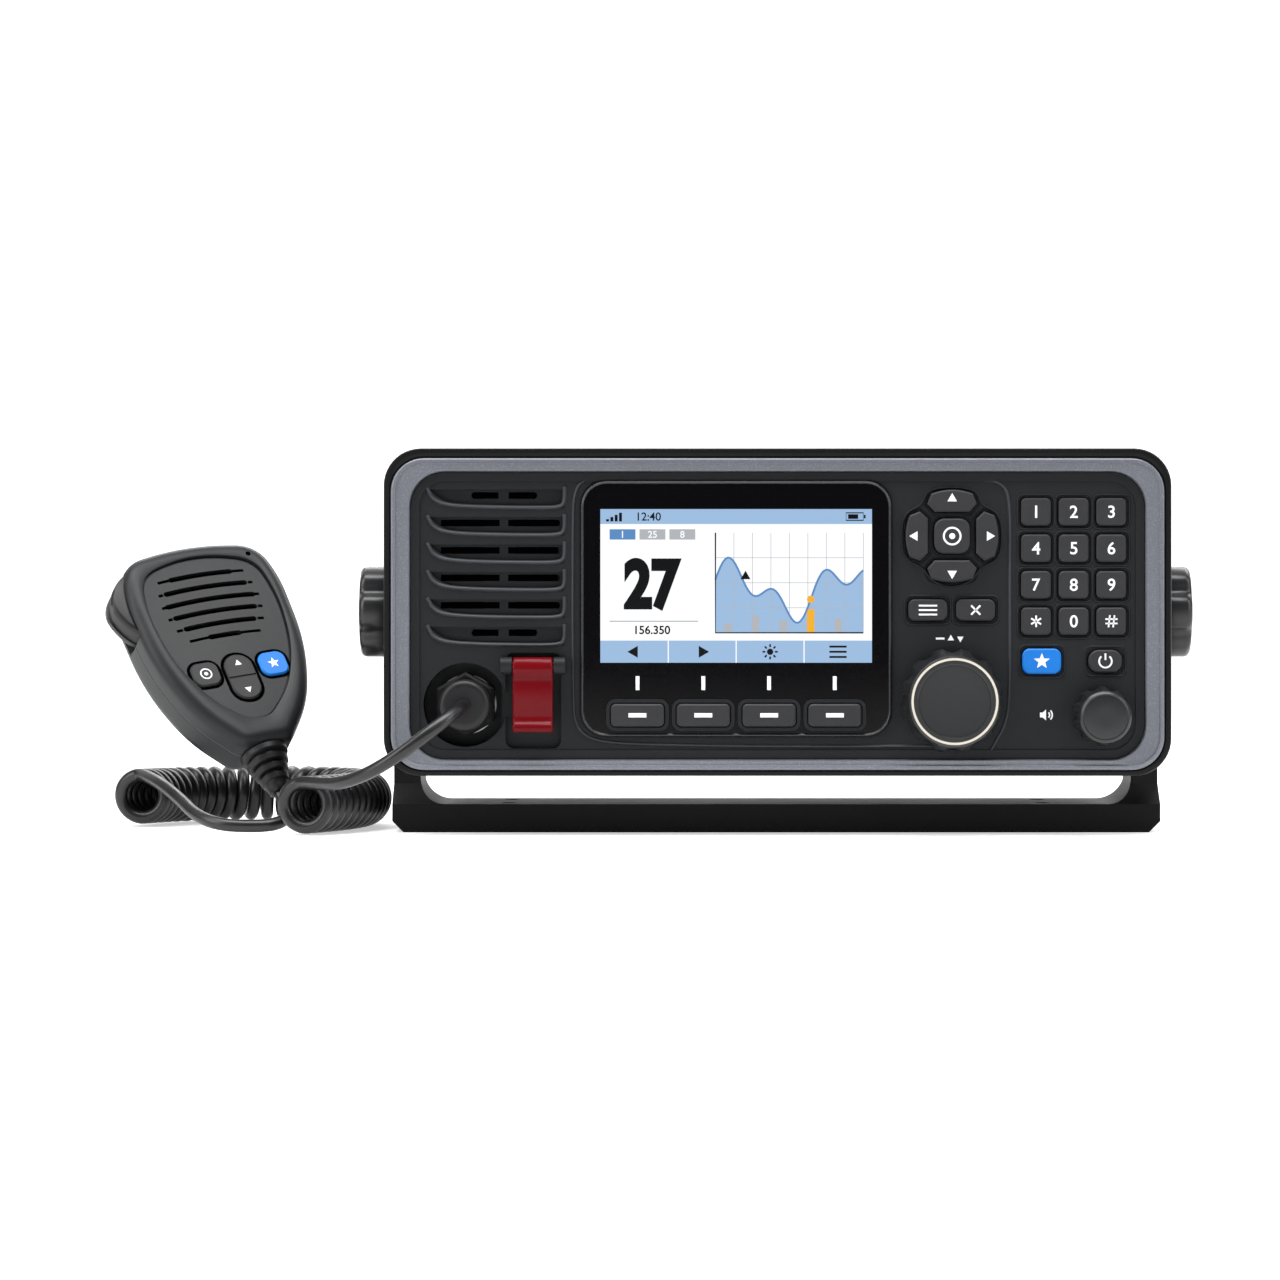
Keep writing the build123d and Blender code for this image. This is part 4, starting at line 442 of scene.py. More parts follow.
def turned(profile, segments, place, wave=None):
    """Surface of revolution: rows of (radius, height), place(across, up, height) gives the points.

    wave(angle, rows) is what the radius loses at that angle.
    """
    profile = np.asarray(profile, float)
    angle = np.linspace(0, 2 * pi, segments, endpoint=False)[None, :]
    radius = profile[:, :1] * np.ones_like(angle)
    if wave is not None:
        radius = radius - wave(angle, profile)
    points = place(radius * np.cos(angle), radius * np.sin(angle), profile[:, 1:] * np.ones_like(angle))
    blocks = [lattice(len(profile), segments, True)]
    rim = np.arange(segments)[None]
    blocks += [rim[:, ::-1], rim + (len(profile) - 1) * segments]
    return outward(points, blocks)


def rounded_rectangle(width, height, radius, steps=8):
    """Outline of a rounded rectangle about 0, 0, anticlockwise: each corner is a quarter circle."""
    angle = (np.linspace(0, pi / 2, steps)[None] + np.arange(4)[:, None] * pi / 2).ravel()
    sides = np.repeat([[1, 1], [-1, 1], [-1, -1], [1, -1]], steps, axis=0)
    centre = sides * np.array([width / 2 - radius, height / 2 - radius])
    return centre + radius * np.stack([np.cos(angle), np.sin(angle)], axis=1)


def rounded_polygon(corners, tangents, steps=10):
    """Closed outline: at each corner C a parabola from C - t * in to C + t * out, straight between."""
    corners = np.asarray(corners, float)
    run = np.roll(corners, -1, axis=0) - corners
    run /= np.linalg.norm(run, axis=1, keepdims=True)
    reach = np.asarray(tangents, float)[:, None]
    start, end = corners - np.roll(run, 1, axis=0) * reach, corners + run * reach
    t = np.linspace(0, 1, steps)[None, :, None]
    bend = (1 - t) ** 2 * start[:, None] + 2 * t * (1 - t) * corners[:, None] + t**2 * end[:, None]
    return bend.reshape(-1, 2)


def padded(points, closed):
    """The points and one more at each end: the line's other end, or its last run carried on."""
    if closed:
        return np.concatenate([points[-1:], points, points[:1]])
    return np.concatenate([2 * points[:1] - points[1:2], points, 2 * points[-1:] - points[-2:-1]])


def flowing(points, steps=8, closed=False):
    """Smooth line by quadratic B-spline, which touches each run of the points at its middle."""
    points = padded(np.asarray(points, float), closed)
    t = np.linspace(0, 1, steps, endpoint=False)[None, :, None]
    a, b, c = points[:-2, None], points[1:-1, None], points[2:, None]
    line = 0.5 * ((1 - t) ** 2 * a + (1 + 2 * t - 2 * t**2) * b + t**2 * c)
    return line.reshape(-1, points.shape[1])


def leftwards(path, closed):
    """Unit vectors to the left of a flat path, square to the run between each point's neighbours."""
    around = padded(path, closed)
    along = around[2:] - around[:-2]
    along /= np.maximum(np.linalg.norm(along, axis=1, keepdims=True), 1e-9)
    return np.stack([-along[:, 1], along[:, 0]], axis=1)


def inset(outline, distance):
    """Closed outline moved inwards along its normals."""
    inner = leftwards(outline, True)
    x, y = outline[:, 0], outline[:, 1]
    if (x * np.roll(y, -1) - y * np.roll(x, -1)).sum() < 0:
        inner = -inner
    return outline + inner * distance


def framed(rows):
    """Loft of rounded rectangles: rows of (width, height, corner radius, z of the middle, depth)."""
    rings = np.array([rounded_rectangle(w, h, r, 12) + (0, middle) for w, h, r, middle, _ in rows])
    depths = np.array([row[4] for row in rows])[:, None]
    points = on_face(rings[..., 0], rings[..., 1], depths)
    return outward(points, [lattice(len(rows), rings.shape[1], True)])


def bead(path, width, height, depth, x=0.0, z=0.0, closed=False, material=0):
    """Raised line on the radio's face: a half cosine of this width and height carried along a path."""
    path = np.asarray(path, float)
    side = leftwards(path, closed)[:, None]
    share = np.linspace(-1, 1, 9)[None, :, None]
    line = path[:, None] + side * share * width / 2
    rise = height * np.cos(share[..., 0] * pi / 2) * np.ones((len(path), 1))
    if closed:
        line, rise = (np.concatenate([grid, grid[:1]]) for grid in (line, rise))
    points = on_face(line[..., 0] + x, line[..., 1] + z, depth - rise)
    return facing(points, [lattice(len(line), 9)], FRONT, material)


def add_spline(curve, kind, points):
    """Adds a line of this kind to a curve, by its points."""
    rows = np.zeros((len(points), 4))
    rows[:, :len(points[0])] = points
    rows[:, 3] = 1.0
    spline = curve.splines.new(kind)
    spline.points.add(len(points) - 1)
    spline.points.foreach_set("co", rows.ravel())
    return spline


def mesh_of(curve):
    """Points and triangles of a curve or a line of figures, which is then removed."""
    holder = bpy.data.objects.new(curve.name, curve)
    mesh = bpy.data.meshes.new_from_object(holder)
    mesh.calc_loop_triangles()
    points = np.empty(len(mesh.vertices) * 3)
    mesh.vertices.foreach_get("co", points)
    corners = np.empty(len(mesh.loop_triangles) * 3, dtype=np.int32)
    mesh.loop_triangles.foreach_get("vertices", corners)
    bpy.data.objects.remove(holder)
    bpy.data.meshes.remove(mesh)
    bpy.data.curves.remove(curve)
    return points.reshape(-1, 3), corners.reshape(-1, 3)


# ------------------------------ flat prints
# A shape is (points, blocks) with two coordinates to a point. An icon is a list of shapes.
def patch(outline):
    """A filled outline."""
    outline = np.asarray(outline, float)
    return outline, [np.arange(len(outline))[None]]


def bar(x0, x1, z0, z1):
    """A filled rectangle."""
    return patch([(x0, z0), (x1, z0), (x1, z1), (x0, z1)])


def band(path, width, closed=False):
    """A line of even width along a path: each point goes half the width to both sides."""
    path = np.asarray(path, float)
    side = leftwards(path, closed) * width / 2
    both = np.stack([path + side, path - side], axis=1)
    if closed:
        both = np.concatenate([both, both[:1]])
    return both.reshape(-1, 2), [lattice(len(both), 2)]


def arc(radius, start, end, steps=24):
    """Points of a circle's arc between two angles in degrees."""
    angle = np.radians(np.linspace(start, end, steps))
    return np.stack([radius * np.cos(angle), radius * np.sin(angle)], axis=1)


def glyphs(text, height, bold=0.0):
    """A line of figures about 0, 0, of this height; bold thickens its strokes."""
    curve = bpy.data.curves.new("figures", "FONT")
    curve.body = text
    curve.offset = bold
    points, corners = mesh_of(curve)
    points = points[:, :2]
    low, high = points.min(axis=0), points.max(axis=0)
    return (points - (low + high) / 2) * height / (high[1] - low[1]), [corners]


def filled(outlines):
    """The area between outlines, the first of which is the outer one and the others are holes."""
    curve = bpy.data.curves.new("plate", "CURVE")
    curve.dimensions = "2D"
    curve.fill_mode = "BOTH"
    for outline in outlines:
        add_spline(curve, "POLY", outline).use_cyclic_u = True
    points, corners = mesh_of(curve)
    return points[:, :2], [corners]


def laid(shape, place, direction, x=0.0, z=0.0, material=0):
    """The shape moved to x, z and put on a surface by place(x, z), facing a direction."""
    points, blocks = shape
    return facing(place(points[:, 0] + x, points[:, 1] + z), blocks, direction, material)


def printed(shapes, depth, x=0.0, z=0.0, material=0):
    """The shapes on the radio's face, at this depth."""
    return [laid(shape, lambda u, v: on_face(u, v, depth), FRONT, x, z, material) for shape in shapes]


def icon_triangle(size, turn=90.0):
    """Triangle with one corner at this angle."""
    return [patch(arc(size, turn, turn + 240, 3))]


def icon_bars(width, gap, thick):
    """Three level bars."""
    half, rise = width / 2, thick / 2
    return [bar(-half, half, row * gap - rise, row * gap + rise) for row in (-1, 0, 1)]


def icon_cross(size, thick):
    """Two diagonals of a square."""
    return [band([(-size, -size), (size, size)], thick), band([(-size, size), (size, -size)], thick)]


def icon_power(size, thick):
    """Ring open at its top, with a bar in the gap."""
    return [band(arc(size, 130, 410), thick), bar(-thick / 2, thick / 2, size * 0.2, size * 1.25)]


def icon_asterisk(size, thick):
    """Three lines through one point."""
    tips = [(size * cos(a), size * sin(a)) for a in np.radians((30, 90, 150))]
    return [band([(x, z), (-x, -z)], thick) for x, z in tips]


def icon_gate(size, thick):
    """Two leaning lines and two level ones."""
    lean = 0.12 * size
    posts = [((s * size * 0.38 - lean, -size), (s * size * 0.38 + lean, size)) for s in (-1, 1)]
    rails = [((-size, s * size * 0.36), (size, s * size * 0.36)) for s in (-1, 1)]
    return [band(line, thick) for line in posts + rails]


def icon_target(size, thick):
    """Ring round a dot."""
    return [band(arc(size, 0, 352, 40), thick, closed=True), patch(arc(size * 0.36, 0, 340, 18))]


def icon_speaker(size, thick):
    """Loudspeaker's outline with two waves."""
    points, blocks = patch([(-1.1, -0.45), (-0.6, -0.45), (0, -1), (0, 1), (-0.6, 0.45), (-1.1, 0.45)])
    waves = [band(arc(size * reach, -45, 45, steps), thick) for reach, steps in ((0.65, 12), (1.15, 16))]
    return [(points * size, blocks), *waves]


def icon_sun(size, thick):
    """Dot with eight rays."""
    near, far = size * 0.75, size * 1.2
    rays = [
        band([(near * cos(a), near * sin(a)), (far * cos(a), far * sin(a))], thick)
        for a in np.linspace(0, 2 * pi, 8, endpoint=False)
    ]
    return [patch(arc(size * 0.5, 0, 345, 24)), *rays]


def icon_star(size):
    """Star with five points: ten corners at even turns, every second one drawn in."""
    turn = pi / 2 + np.arange(10) * pi / 5
    reach = size * np.where(np.arange(10) % 2, 0.42, 1.0)
    return [patch(np.stack([reach * np.cos(turn), reach * np.sin(turn)], axis=1))]


# ------------------------------ hand microphone's own frame
# Millimetres across the microphone, up along it, and out of its seam's plane to the front
MIC_AT = np.array([-199.9, 7.0, 63.7])
MIC_RIM = 9.2  # front of the rounded edge
MIC_PLATE = 8.0  # front of the face plate
MIC_DEEP = 6.2  # floor behind slots and keys
MIC_KEY_TOP = 8.9
MIC_PRINT = 0.02
MIC_KEY_X, MIC_KEY_UP, ROCKER_UP = 13.3, -13.4, -16.8
GRILLE_TOP, GRILLE_PITCH = 28.4, 5.3
SLOT_HALVES = (11.6, 15.5, 16.8, 15.6, 13.4, 5.5)
GROOVE_HALVES = (17.0, 18.6, 19.2, 18.6, 17.2, 14.0)


def turn_about(axis, degrees):
    """Matrix of a rotation about X, Y or Z."""
    c, s = cos(radians(degrees)), sin(radians(degrees))
    i, j = {"x": (1, 2), "y": (2, 0), "z": (0, 1)}[axis]
    matrix = np.eye(3)
    matrix[i, i] = matrix[j, j] = c
    matrix[i, j], matrix[j, i] = -s, s
    return matrix


MIC_TURN = turn_about("y", -9.5) @ turn_about("z", 30.0) @ turn_about("x", -30.0)
MIC_ACROSS, MIC_UP, MIC_OUT = (MIC_TURN @ np.array(v, float) for v in ((1, 0, 0), (0, 0, 1), (0, -1, 0)))


def on_mic(across, up, out):
    """Points of the microphone, in metres of the part."""
    across, up, out = np.broadcast_arrays(*(np.asarray(value, float) for value in (across, up, out)))
    return (MIC_AT + across[..., None] * MIC_ACROSS + up[..., None] * MIC_UP + out[..., None] * MIC_OUT) * MM


def on_plate(shapes, out, x=0.0, z=0.0, material=0):
    """The shapes on the microphone, this far out of its seam."""
    return [laid(shape, lambda u, v: on_mic(u, v, out), MIC_OUT, x, z, material) for shape in shapes]


def resampled(outline, count, start):
    """Closed outline at even steps of its length, from its point of this number."""
    outline = np.roll(outline, -start, axis=0)
    ring = np.concatenate([outline, outline[:1]])
    reach = np.concatenate([[0], np.cumsum(np.linalg.norm(np.diff(ring, axis=0), axis=1))])
    at = np.linspace(0, reach[-1], count, endpoint=False)
    return np.stack([np.interp(at, reach, ring[:, i]) for i in (0, 1)], axis=1)


def shield(right, top, radii, crown):
    """Outline of the microphone: its right half mirrored, each corner a parabola as long as a fillet."""
    corners = np.array([(0.0, top), *[(-x, z) for x, z in right[::-1]], *right])
    radii = np.array([crown, *radii[::-1], *radii], float)
    run = np.roll(corners, -1, axis=0) - corners
    run /= np.linalg.norm(run, axis=1, keepdims=True)
    turn = np.arccos(np.clip((np.roll(run, 1, axis=0) * run).sum(axis=1), -1, 1))
    return resampled(rounded_polygon(corners, radii * np.tan(turn / 2), 11), 240, 5)


BODY = shield(
    ((9.7, -44.5), (22.0, -29.5), (30.2, -6.0), (30.9, 22.0), (27.3, 38.6)), 42.9, (7, 55, 85, 50, 14), 100
)
PLATE = shield(
    ((4.5, -34.5), (15.0, -24.5), (23.3, -7.0), (25.8, 14.0), (22.8, 31.0)), 38.0, (9, 40, 60, 55, 12), 50
)


# ------------------------------ housing
LOUVRES = 6
LOUVRE_TOP, LOUVRE_PITCH = 42.7, 9.56
SLOT_DEPTH = 5.24


def trim_ring():
    """Trim frame: rounded rectangles over a quarter round edge, across the face and down inside."""
    width, height, radius, middle, roll = 268.8, 108.4, 11.5, -0.7, 0.8
    rows = [(width, height, radius, middle, 6.9), (width, height, radius, middle, 1.0)]
    for angle in np.linspace(0, pi / 2, 5)[1:]:
        lost = roll * (1 - cos(angle))
        rows.append((width - 2 * lost, height - 2 * lost, radius - lost, middle, roll - roll * sin(angle)))
    rows += [
        (265.8, 105.4, 10.2, -0.7, 0.0), (265.2, 104.8, 10.0, -0.7, 0.45), (264.6, 104.2, 9.8, -0.7, 0.5),
        (257.4, 101.8, 12.6, -1.2, 0.3), (256.3, 100.7, 12.3, -1.2, 0.35), (255.7, 100.1, 12.1, -1.2, 0.9),
        (255.6, 100.0, 12.0, -1.2, 6.9), (width, height, radius, middle, 6.9),
    ]
    piece("trim_ring", [framed(rows)], "trim", "radio", ["trim_frame"])


def bezel():
    """Bezel: rounded rectangles from the chassis over the outside to the trim, and back inside."""
    rows = [
        (237.4, 94.4, 6.0, 0.0, 26.9), (266.0, 106.0, 10.0, 0.0, 27.0), (269.6, 109.6, 11.2, 0.0, 26.1),
        (272.6, 112.6, 12.4, 0.0, 23.4), (273.9, 113.9, 13.0, 0.0, 19.0), (274.0, 114.0, 13.0, 0.0, 2.4),
        (273.5, 113.5, 12.8, 0.0, 1.8), (272.6, 112.6, 12.4, 0.0, 1.6), (270.0, 109.8, 11.8, -0.5, 1.6),
        (269.2, 108.8, 11.6, -0.7, 2.0), (269.0, 108.6, 11.6, -0.7, 8.0), (264.0, 104.0, 10.0, 0.0, 23.0),
        (237.4, 94.4, 6.0, 0.0, 26.9),
    ]
    piece("bezel", [framed(rows)], "shell", "radio", ["front_bezel"])


def panel_lines():
    """Raised lines round the fields and keys of the panel and the louvres' lips, the lips and long lines
    lighter as a painted highlight, and the louvres' slots as dark bars of painted shade.
    """
    arrow_pad = flowing([
        (52.2, 43.3), (69.0, 43.3), (70.6, 37.2), (77.2, 34.4), (78.2, 26.4), (77.2, 18.4), (70.6, 15.6),
        (68.0, 11.4), (63.0, 8.9), (58.2, 8.9), (53.2, 11.4), (50.6, 15.6), (44.0, 18.4), (43.0, 26.4),
        (44.0, 34.4), (50.6, 37.2),
    ], 6, closed=True)
    by_keypad = flowing([
        (40.8, 46.4), (70.0, 46.4), (78.3, 45.2), (80.8, 39.1), (80.8, 20.0), (80.8, -28.0), (79.6, -38.4),
        (75.6, -45.6),
    ], 10)
    by_window = flowing([
        (-58.0, 47.2), (-66.0, 46.8), (-70.7, 43.0), (-71.2, 30.0), (-71.2, -30.0), (-70.2, -40.2),
        (-63.1, -45.2), (-40.0, -46.2), (10.3, -46.8), (46.0, -46.6),
    ], 10)
    lines = [bead(arrow_pad, 0.9, 0.5, FIELD_DEPTH, closed=True)]
    # the lines by the keypad and by the window take the painted highlight finish
    lines += [bead(line, 1.2, 0.65, FIELD_DEPTH, material=2) for line in (by_keypad, by_window)]
    for node in KEYS:
        x, z, _, width, height = seat(node)
        on_window, on_pad = "soft" in node, z > 8 and x < 80
        if not on_window and not on_pad:
            around = rounded_rectangle(width + 1.0, height + 1.0, 2.2, 6)
            lines.append(bead(around, 0.75, 0.4, FIELD_DEPTH, x, z, closed=True))
    slots = []
    for i in range(LOUVRES):
        top = LOUVRE_TOP - LOUVRE_PITCH * i
        lip = flowing([
            (-121.4, top - 0.6), (-120.2, top - 3.0), (-116.6, top - 5.2), (-106.0, top - 6.1),
            (-84.0, top - 6.4), (-75.4, top - 6.2), (-74.1, top - 4.2), (-74.1, top - 0.4),
        ])
        # each louvre's lip takes the painted highlight finish
        lines.append(bead(lip, 1.5, 0.8, FIELD_DEPTH, material=2))
        runs = ((-117.2, -96.8), (-93.8, -76.4))
        if i in (0, LOUVRES - 1):
            runs = ((-106.1, -97.2), (-93.6, -84.6))
        # the slots are dark bars of painted shade, laid behind the lips where the openings are
        slots += printed([bar(*run, top - 3.2, top - 1.0) for run in runs], SLOT_DEPTH, material=1)
    piece("panel_lines", lines + slots, ["panel", "void", "ridge"], "radio", crease=80)


def side_knob(name, side):
    """Side knob and its stud: a turned profile whose rim loses (1/2 - 1/2 cos 6a)^3 of 2.4 mm."""
    profile = [
        (0.4, 118.6), (3.0, 118.6), (3.0, 136.25), (16.4, 136.25), (17.0, 137.0), (17.0, 146.2),
        (16.6, 147.4), (15.6, 148.2), (13.6, 148.5), (12.9, 148.2), (12.4, 147.6), (3.0, 147.4),
    ]

    def valleys(angle, rows):
        depth = np.interp(rows[:, 0], (12.5, 16.4), (0, 2.4))[:, None]
        return depth * (0.5 - 0.5 * np.cos(6 * angle)) ** 3

    def beside(across, up, height):
        return np.stack([side * height, across, up + PIVOT_Z], axis=-1) * MM

    grip = turned(profile, 144, beside, valleys)
    piece(
        f"knob_{name}_grip", [grip], "knob", name + "_knob", ["side_knob_" + name], crease=40
    )


class RADIO_OT_housing(bpy.types.Operator):
    """Bezel, trim frame, raised lines of the panel and side knobs"""

    bl_idname = "radio.housing"
    bl_label = "Housing"

    def execute(self, context):
        trim_ring()
        bezel()
        panel_lines()
        side_knob("left", -1)
        side_knob("right", 1)
        return {"FINISHED"}


# ------------------------------ display
SCREEN = (-61.6, 32.8, -17.6, 35.8)  # its left, right, lower and upper edge
HEADER, FOOTER = 5.2, 7.7  # heights of the bars above and below
WHITE, BLUE, PALE, INK, GREY, AMBER = range(6)
SCREEN_FINISHES = ["screen_" + colour for colour in ("white", "blue", "pale", "ink", "grey", "amber")]


class Picture:
    """Shapes in five layers, each a print's thickness in front of the last."""

    def __init__(self):
        self.layers = [[] for _ in range(5)]

    def put(self, layer, shapes, colour, x=0.0, z=0.0):
        """Adds shapes to a layer."""
        self.layers[layer] += printed(shapes, WINDOW_DEPTH - PRINT * (layer + 1), x, z, colour)


def draw_bars(picture):
    """Ground, the bar above with signal, clock and battery, and the bar below in four cells."""
    left, right, low, high = SCREEN
    middle = high - HEADER / 2
    picture.put(0, [bar(*SCREEN)], WHITE)
    picture.put(1, [bar(left, right, high - HEADER, high)], PALE)
    steps = [bar(2 + i * 1.5, 3 + i * 1.5, -4.3, -3.5 + i * 0.75) for i in range(4)]
    picture.put(2, steps, INK, left, high)
    picture.put(2, [glyphs("12:40", 2.9, 0.01)], INK, left + 17, middle)
    case = band([(-3, -1.3), (3, -1.3), (3, 1.3), (-3, 1.3)], 0.4, closed=True)
    picture.put(2, [case, bar(-2.3, 1.2, -0.8, 0.8), bar(3.2, 3.8, -0.6, 0.6)], INK, right - 6, middle)
    picture.put(1, [bar(left, right, low, low + FOOTER)], PALE)
    cell = (right - left) / 4
    picture.put(2, [bar(cell * i - 0.2, cell * i + 0.2, 0, FOOTER) for i in (1, 2, 3)], WHITE, left, low)
    icons = icon_triangle(2.4, 180), icon_triangle(2.4, 0), icon_sun(2.2, 0.6), icon_bars(6, 1.8, 0.7)
    for i, icon in enumerate(icons):
        picture.put(3, icon, INK, left + cell * (i + 0.5), low + 3.8)


def draw_channel(picture):
    """Channel number, with three small tabs over it and its frequency under it."""
    left, high = SCREEN[0], SCREEN[3]
    number, corners = glyphs("27", 18.5, 0.05)
    picture.put(2, [(number * (0.82, 1.0), corners)], INK, left + 18.2, 9.6)
    for i, (figures, colour) in enumerate((("1", BLUE), ("25", GREY), ("8", GREY))):
        picture.put(1, [bar(0, 9, 0, 3.6)], colour, left + 3.2 + i * 10.4, high - 10.6)
        picture.put(2, [glyphs(figures, 2.4, 0.01)], WHITE, left + 7.7 + i * 10.4, high - 8.8)
    picture.put(2, [bar(3.2, 34, -3.4, -3.0)], GREY, left)
    picture.put(2, [glyphs("156.350", 3.0, 0.02)], INK, left + 18.2, -6.2)


def draw_chart(picture):
    """Chart: a pale area under a swell of two sines, with a grid, axes, columns and two marks."""
    left, right, low, high = SCREEN[0] + 40, SCREEN[1] - 3, SCREEN[2] + 10.4, SCREEN[3] - 8.2
    wide, tall = right - left, high - low
    u = np.linspace(0, 1, 60)
    x = left + wide * u
    swell = low + tall * (0.42 + 0.2 * np.sin(2 * pi * u * 1.3 + 0.6) + 0.14 * np.sin(2 * pi * u * 3.1))
    crest = np.stack([x, swell], axis=1)
    area = np.stack([np.stack([x, np.full_like(x, low)], axis=1), crest], axis=1)
    picture.put(1, [(area.reshape(-1, 2), [lattice(60, 2)])], PALE)
    levels = [bar(0, wide, tall * share - 0.1, tall * share + 0.1) for share in (0.25, 0.5, 0.75)]
    uprights = [bar(wide * share - 0.1, wide * share + 0.1, 0, tall) for share in np.linspace(0, 1, 9)]
    picture.put(2, levels + uprights, GREY, left, low)
    picture.put(3, [band(crest, 0.7)], BLUE)
    picture.put(4, [band([(left, high), (left, low), (right, low)], 0.5)], INK)
    for i, height in enumerate((3.2, 6.0, 4.4, 8.2, 5.0)):
        picture.put(3, [bar(3, 5.6, 0, height)], AMBER if i == 3 else GREY, left + i * 9.6, low)
    picture.put(4, [patch(arc(1.3, 0, 340, 20))], AMBER, x[38], swell[38])
    picture.put(4, icon_triangle(2.0), INK, x[12], swell[12] + 3.2)


class RADIO_OT_display(bpy.types.Operator):
    """Bead of the window, the picture on the display and the marks under it"""

    bl_idname = "radio.display"
    bl_label = "Display"

    def execute(self, context):
        edge = rounded_rectangle(107.0, 87.8, 8.4, 10)
        rim = bead(edge, 1.1, 0.55, WINDOW_DEPTH, -14.4, 1.2, closed=True)
        piece("window_bead", [rim], "bead", "radio")
        picture = Picture()
        draw_bars(picture)
        draw_channel(picture)
        draw_chart(picture)
        piece("screen", sum(picture.layers, []), SCREEN_FINISHES, "radio")
        marks = [bar(x - 0.65, x + 0.65, -27.1, -22.3) for x in -48.675 + 22.85 * np.arange(4)]
        piece("window_marks", printed(marks, WINDOW_DEPTH - PRINT), "legend", "radio")
        return {"FINISHED"}


# ------------------------------ legends
def legend(node, shapes, x=0.0, z=0.0):
    """A print on the front of a key, that moves with it."""
    middle_x, middle_z, depth, *_ = seat(node)
    parts = printed(shapes, depth - PRINT, middle_x + x, middle_z + z)
    piece(node + "_legend", parts, "legend", node + "_cap")


class RADIO_OT_legends(bpy.types.Operator):
    """Figures and icons on the keys and on the panel"""

    bl_idname = "radio.legends"
    bl_label = "Legends"

    def execute(self, context):
        for digit in "1234567890":
            legend("key_" + digit, [glyphs(digit, 4.3, 0.012)])
        legend("key_star", icon_asterisk(2.0, 0.6))
        legend("key_hash", icon_gate(2.1, 0.55))
        for i in range(1, 5):
            legend(f"soft_key_{i}", [bar(-3.1, 3.1, -0.75, 0.75)])
        for name, turn, x, z in (
            ("up", 90, 0, 0.4), ("down", 270, 0, -0.4), ("left", 180, -0.4, 0), ("right", 0, 0.4, 0)
        ):
            legend(name + "_key", icon_triangle(1.9, turn), x, z)
        legend("enter_key", icon_target(2.9, 0.65))
        legend("menu_key", icon_bars(6.4, 1.55, 0.6))
        legend("clear_key", icon_cross(1.6, 0.65))
        legend("blue_key", icon_star(2.9))
        legend("power_key", icon_power(2.2, 0.6))
        marks = []
        for x, z, icon in (
            (60.3, -9.2, icon_triangle(1.3, 90)),
            (63.6, -9.2, icon_triangle(1.3, 270)),
            (56.6, -9.2, [bar(-1.5, 1.5, -0.35, 0.35)]),
            (93.4, -35.8, icon_speaker(1.9, 0.5)),
        ):
            marks += printed(icon, FIELD_DEPTH - PRINT, x, z)
        piece("panel_marks", marks, "legend", "radio")
        return {"FINISHED"}


# ------------------------------ front knobs
CHANNEL_ROWS = [
    (4.0, 1.4), (17.6, 1.4), (18.2, 0.9), (18.1, -0.9), (18.0, -1.1), (17.4, -5.2), (16.7, -9.6),
    (16.0, -14.0), (15.75, -15.2), (15.3, -15.8), (14.7, -16.1), (12.9, -16.1), (12.5, -15.9),
    (12.3, -15.4), (6.0, -15.2), (0.4, -15.2),
]
VOLUME_ROWS = [
    (4.0, 1.4), (9.9, 1.4), (10.4, 0.9), (10.35, -0.4), (10.3, -0.6), (9.9, -4.4), (9.5, -8.2),
    (9.15, -11.4), (9.0, -12.6), (8.6, -13.2), (8.0, -13.6), (7.6, -13.45), (7.2, -13.5), (6.6, -13.6),
    (3.0, -13.6), (0.4, -13.6),
]


def scalloped(flutes, orbit, bite):
    """What cutters of radius bite, on an orbit round the knob, take off its skirt at an angle.

    The cut is whole at the foot and 0.35 of it near the front, and the front's rim stays round.
    """

    def loss(angle, rows):
        phase = (angle + pi / flutes) % (2 * pi / flutes) - pi / flutes
        off = orbit * np.sin(phase)
        inner = orbit * np.cos(phase) - np.sqrt(np.clip(bite**2 - off**2, 0, None))
        cut = np.where(np.abs(off) < bite, rows[:, 0].max() - inner, 0)
        height, front = rows[:, 1:], rows[:, 1].min()
        share = np.interp(-height, (-1.4, -front * 0.82), (1.0, 0.35))
        on_skirt = (height > front * 0.9) * (rows[:, :1] > 8.9)
        return np.clip(cut, 0, 3) * share * on_skirt

    return loss


def front_knob(name, rows, flutes, orbit, bite, ring=None):
    """Fluted knob; ring is the outer and inner radius and the depth of the flat ring on its front."""
    x, z, *_ = seat(name + "_knob")

    def place(across, up, depth):
        return on_face(x + across, z + up, depth)

    parts = [turned(rows, 12 * flutes, place, scalloped(flutes, orbit, bite))]
    finishes = ["knob"]
    if ring:
        radius = np.array(ring[:2])[:, None]
        angle = np.linspace(0, 2 * pi, 96, endpoint=False)[None]
        points = place(radius * np.cos(angle), radius * np.sin(angle), ring[2] - PRINT)
        parts.append(facing(points, [lattice(2, 96, True)], FRONT, 1))
        finishes.append("ring")
    piece(name + "_knob_grip", parts, finishes, name + "_dial", [name + "_knob"], crease=24)


class RADIO_OT_knobs(bpy.types.Operator):
    """Fluted channel and volume knobs"""

    bl_idname = "radio.knobs"
    bl_label = "Knobs"

    def execute(self, context):
        front_knob("channel", CHANNEL_ROWS, 12, 20.6, 3.9, (14.95, 14.15, -16.1))
        front_knob("volume", VOLUME_ROWS, 10, 11.7, 2.5)
        return {"FINISHED"}


